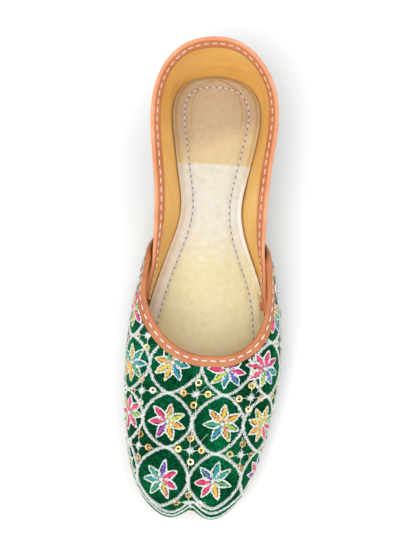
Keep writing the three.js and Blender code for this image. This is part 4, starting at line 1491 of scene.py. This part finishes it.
def make_sequins():
    count = 20
    angle = np.arange(count) / count * 2 * math.pi
    # The foil's colour on each ring is scaled by painted light and shade: the hole's lip, the outer rim and the back
    # painted darker, the dish between at full light
    rings = (  # radius, height, how bright
        (SEQUIN_HOLE, 0.1, 0.35), (SEQUIN_HOLE + 0.16, 0.24, 0.7), (1.2, 0.2, 1),
        (SEQUIN_OUTER - 0.22, 0.34, 1), (SEQUIN_OUTER, 0.24, 0.4), (SEQUIN_OUTER - 0.15, 0.08, 0.3))
    points, faces, colours, total = [], [], [], 0
    for across, along, squash in GAPS:
        for number in range(4):
            way = math.radians(number * 90 + RANDOM.uniform(-7, 7))
            reach = SEQUIN_REACH + RANDOM.uniform(-0.4, 0.4)
            centre = np.array([[across + math.sin(way) * reach, along + math.cos(way) * reach * squash]])
            place, facing = on_vamp(centre[:, 0], centre[:, 1])
            if np.isnan(place).any() or np.isnan(facing).any():
                continue
            if nearest_distance(place, THROAT_LINE)[0] < THROAT_CLEAR + 1 or nearest_distance(place, SOLE_LINE)[0] < 6:
                continue
            out = unit(facing[0] + RANDOM.uniform(-0.14, 0.14, 3))
            first = unit(np.cross(out, [0, 1, 0.2]))
            second = np.cross(out, first)
            foil = linear(SEQUIN_FOILS[RANDOM.integers(len(SEQUIN_FOILS))])
            for radius, height, painted_light in rings:
                round_it = np.cos(angle)[:, None] * first + np.sin(angle)[:, None] * second
                points.append(place[0] + round_it * radius + out * (height + 0.25))
                colours.append(np.tile([*(np.array(foil) * painted_light), 1], (count, 1)))
            for ring in range(len(rings)):
                low, high = total + ring * count, total + (ring + 1) % len(rings) * count
                for k in range(count):
                    after = (k + 1) % count
                    faces.append((low + k, high + k, high + after, low + after))
            total += count * len(rings)
    made = array_piece("sequins_gilt_foil", to_frame(np.concatenate(points)), faces, np.concatenate(colours))
    recalculate(made)
    bpy.ops.object.shade_smooth_by_angle(angle=math.radians(35))
    dress(made, SEQUIN_FOIL)
    return made


# Border: two lines of silver along the sole edge of the vamp
class SoleChart:
    """Places points by the distance along the vamp's sole edge and the distance up from it."""

    def __init__(self):
        self.u = np.linspace(WING_FOOT, STATIONS - WING_FOOT, 600)
        self.v = np.linspace(0, 0.8, 70)
        u, v = np.meshgrid(self.u, self.v, indexing="ij")
        points = wall_point(u.ravel(), v.ravel(), vamp_outside(u.ravel(), v.ravel())).reshape(*u.shape, 3)
        rise = np.linalg.norm(np.diff(points, axis=1), axis=2)
        self.up = np.concatenate([np.zeros((len(self.u), 1)), np.cumsum(rise, axis=1)], axis=1)
        along = np.linalg.norm(np.diff(points[:, 0], axis=0), axis=1)
        self.run = np.concatenate([[0], np.cumsum(along)])

    def __call__(self, run, up):
        shape = run.shape
        at_u = np.interp(run.ravel(), self.run, self.u)
        row = np.rint(np.interp(at_u, self.u, np.arange(len(self.u)))).astype(int)
        at_v = np.array([np.interp(height, self.up[i], self.v) for height, i in zip(up.ravel(), row)])
        offset = creased(vamp_outside)(at_u, at_v)
        facing = face_frame(at_u, at_v)[2]
        return wall_point(at_u, at_v, offset).reshape(*shape, 3), facing.reshape(*shape, 3)


BORDER_LINES = ((14.2, 1.7), (11.2, 1.3))


def make_border():
    chart = SoleChart()
    work = Needlework(place=chart)
    line = chart.run[-1]
    for up, width in BORDER_LINES:
        run = np.arange(3, line - 3, 2.0)
        wave = up + 0.4 * np.sin(run / 9 + up) + 0.25 * np.sin(run / 3.7 + 2 * up)
        band_of_stitches(work, np.stack([run, wave], 1), width, 0.5, 0.4)
    return work.piece("border_silver_thread", SILVER_THREAD, sole_clear=0.5)


SILVER_THREAD = thread_material("thread_silver_wrapped", 0.08, 0.45, 0.6, 0.3)
SILK_THREAD = thread_material("thread_rayon_silk", 0, 0.36, 0.4, 0.35)
SEQUIN_FOIL = foil_material()


def finish_piece(piece, slot, *replaced):
    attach(piece, "root")
    if replaced:
        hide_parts(*replaced)


# The built shoe
vamp = two_sided_wall("vamp_velvet", 260, 110, vamp_patch, creased(vamp_outside), creased(vamp_inside))
quarters = two_sided_wall("quarters_velvet", 260, 70, quarter_patch, creased(quarter_outside), creased(quarter_inside))
finish_piece(vamp, "velvet", "upper")
finish_piece(quarters, "velvet", "upper")
insole = make_insole()
finish_piece(insole, "insole_leather", "insole")
finish_piece(make_insole_stitches(insole), "insole_leather")
finish_piece(make_outsole(), "sole_leather", "outsole")
finish_piece(make_heel(), "heel_leather", "heel")
throat_binding, throat_stitches = make_throat_binding()
finish_piece(throat_binding, "binding_leather", "throat_binding")
finish_piece(throat_stitches, "binding_leather")
collar_binding, collar_stitches = make_collar_binding()
finish_piece(collar_binding, "binding_leather", "collar_binding")
finish_piece(collar_stitches, "binding_leather")
finish_piece(make_lattice(), "velvet")
for part in make_flowers():
    finish_piece(part, "velvet")
finish_piece(make_gap_threads(), "velvet")
finish_piece(make_sequins(), "velvet")
finish_piece(make_border(), "velvet")


# Floor, light and camera
def make_floor():
    deselect()
    bpy.ops.mesh.primitive_plane_add(size=6, location=(0, 0, 0))
    floor = bpy.context.active_object
    floor.name = "studio_floor"
    material, tree = new_material("floor_white_paper")
    finish_material(tree, {"Base Color": rgba("#f7f7f7"), "Roughness": 0.9, "Specular IOR Level": 0.1})
    dress(floor, material)


def add_light(name, place, target, size, power):
    deselect()
    bpy.ops.object.light_add(type="AREA", location=place)
    light = bpy.context.active_object
    light.name = name
    light.data.energy = power
    light.data.shape = "DISK"
    light.data.size = size
    direction = Vector(target) - Vector(place)
    light.rotation_euler = direction.to_track_quat("-Z", "Y").to_euler()


def make_light():
    world = bpy.data.worlds.new("studio_world")
    world.use_nodes = True
    background = next(n for n in world.node_tree.nodes if n.type == "BACKGROUND")
    background.inputs["Color"].default_value = (1, 1, 1, 1)
    background.inputs["Strength"].default_value = 0.75
    bpy.context.scene.world = world
    add_light("key_light", (-0.45, -0.75, 1.6), (0, 0, 0.02), 1.5, 20)
    add_light("fill_light", (0.8, 0.35, 1.5), (0, 0, 0.02), 1.6, 6.5)


# The photograph looks down on the shoe from the toe, a little rolled
CAMERA_ELEVATION = math.radians(81)
CAMERA_DISTANCE = 0.68
CAMERA_ROLL = math.radians(3.38)
CAMERA_AIM = (0, 0.002, 0.02)
LONG_SIDE_PIXELS = 555
FOCAL_PIXELS = 1232


def make_camera():
    deselect()
    bpy.ops.object.camera_add()
    camera = bpy.context.active_object
    camera.name = "photo_camera"
    right = Vector((1, 0, 0))
    forward = Vector((0, math.cos(CAMERA_ELEVATION), -math.sin(CAMERA_ELEVATION)))
    up = Vector((0, math.sin(CAMERA_ELEVATION), math.cos(CAMERA_ELEVATION)))
    turned_right = right * math.cos(CAMERA_ROLL) + up * math.sin(CAMERA_ROLL)
    turned_up = up * math.cos(CAMERA_ROLL) - right * math.sin(CAMERA_ROLL)
    place = Vector(CAMERA_AIM) - forward * CAMERA_DISTANCE
    camera.matrix_world = Matrix((
        (turned_right.x, turned_up.x, -forward.x, place.x),
        (turned_right.y, turned_up.y, -forward.y, place.y),
        (turned_right.z, turned_up.z, -forward.z, place.z),
        (0, 0, 0, 1)))
    camera.data.sensor_width = 36
    camera.data.lens = 36 * FOCAL_PIXELS / LONG_SIDE_PIXELS
    bpy.context.scene.camera = camera


make_floor()
make_light()
make_camera()
bpy.context.scene.view_settings.view_transform = "Standard"
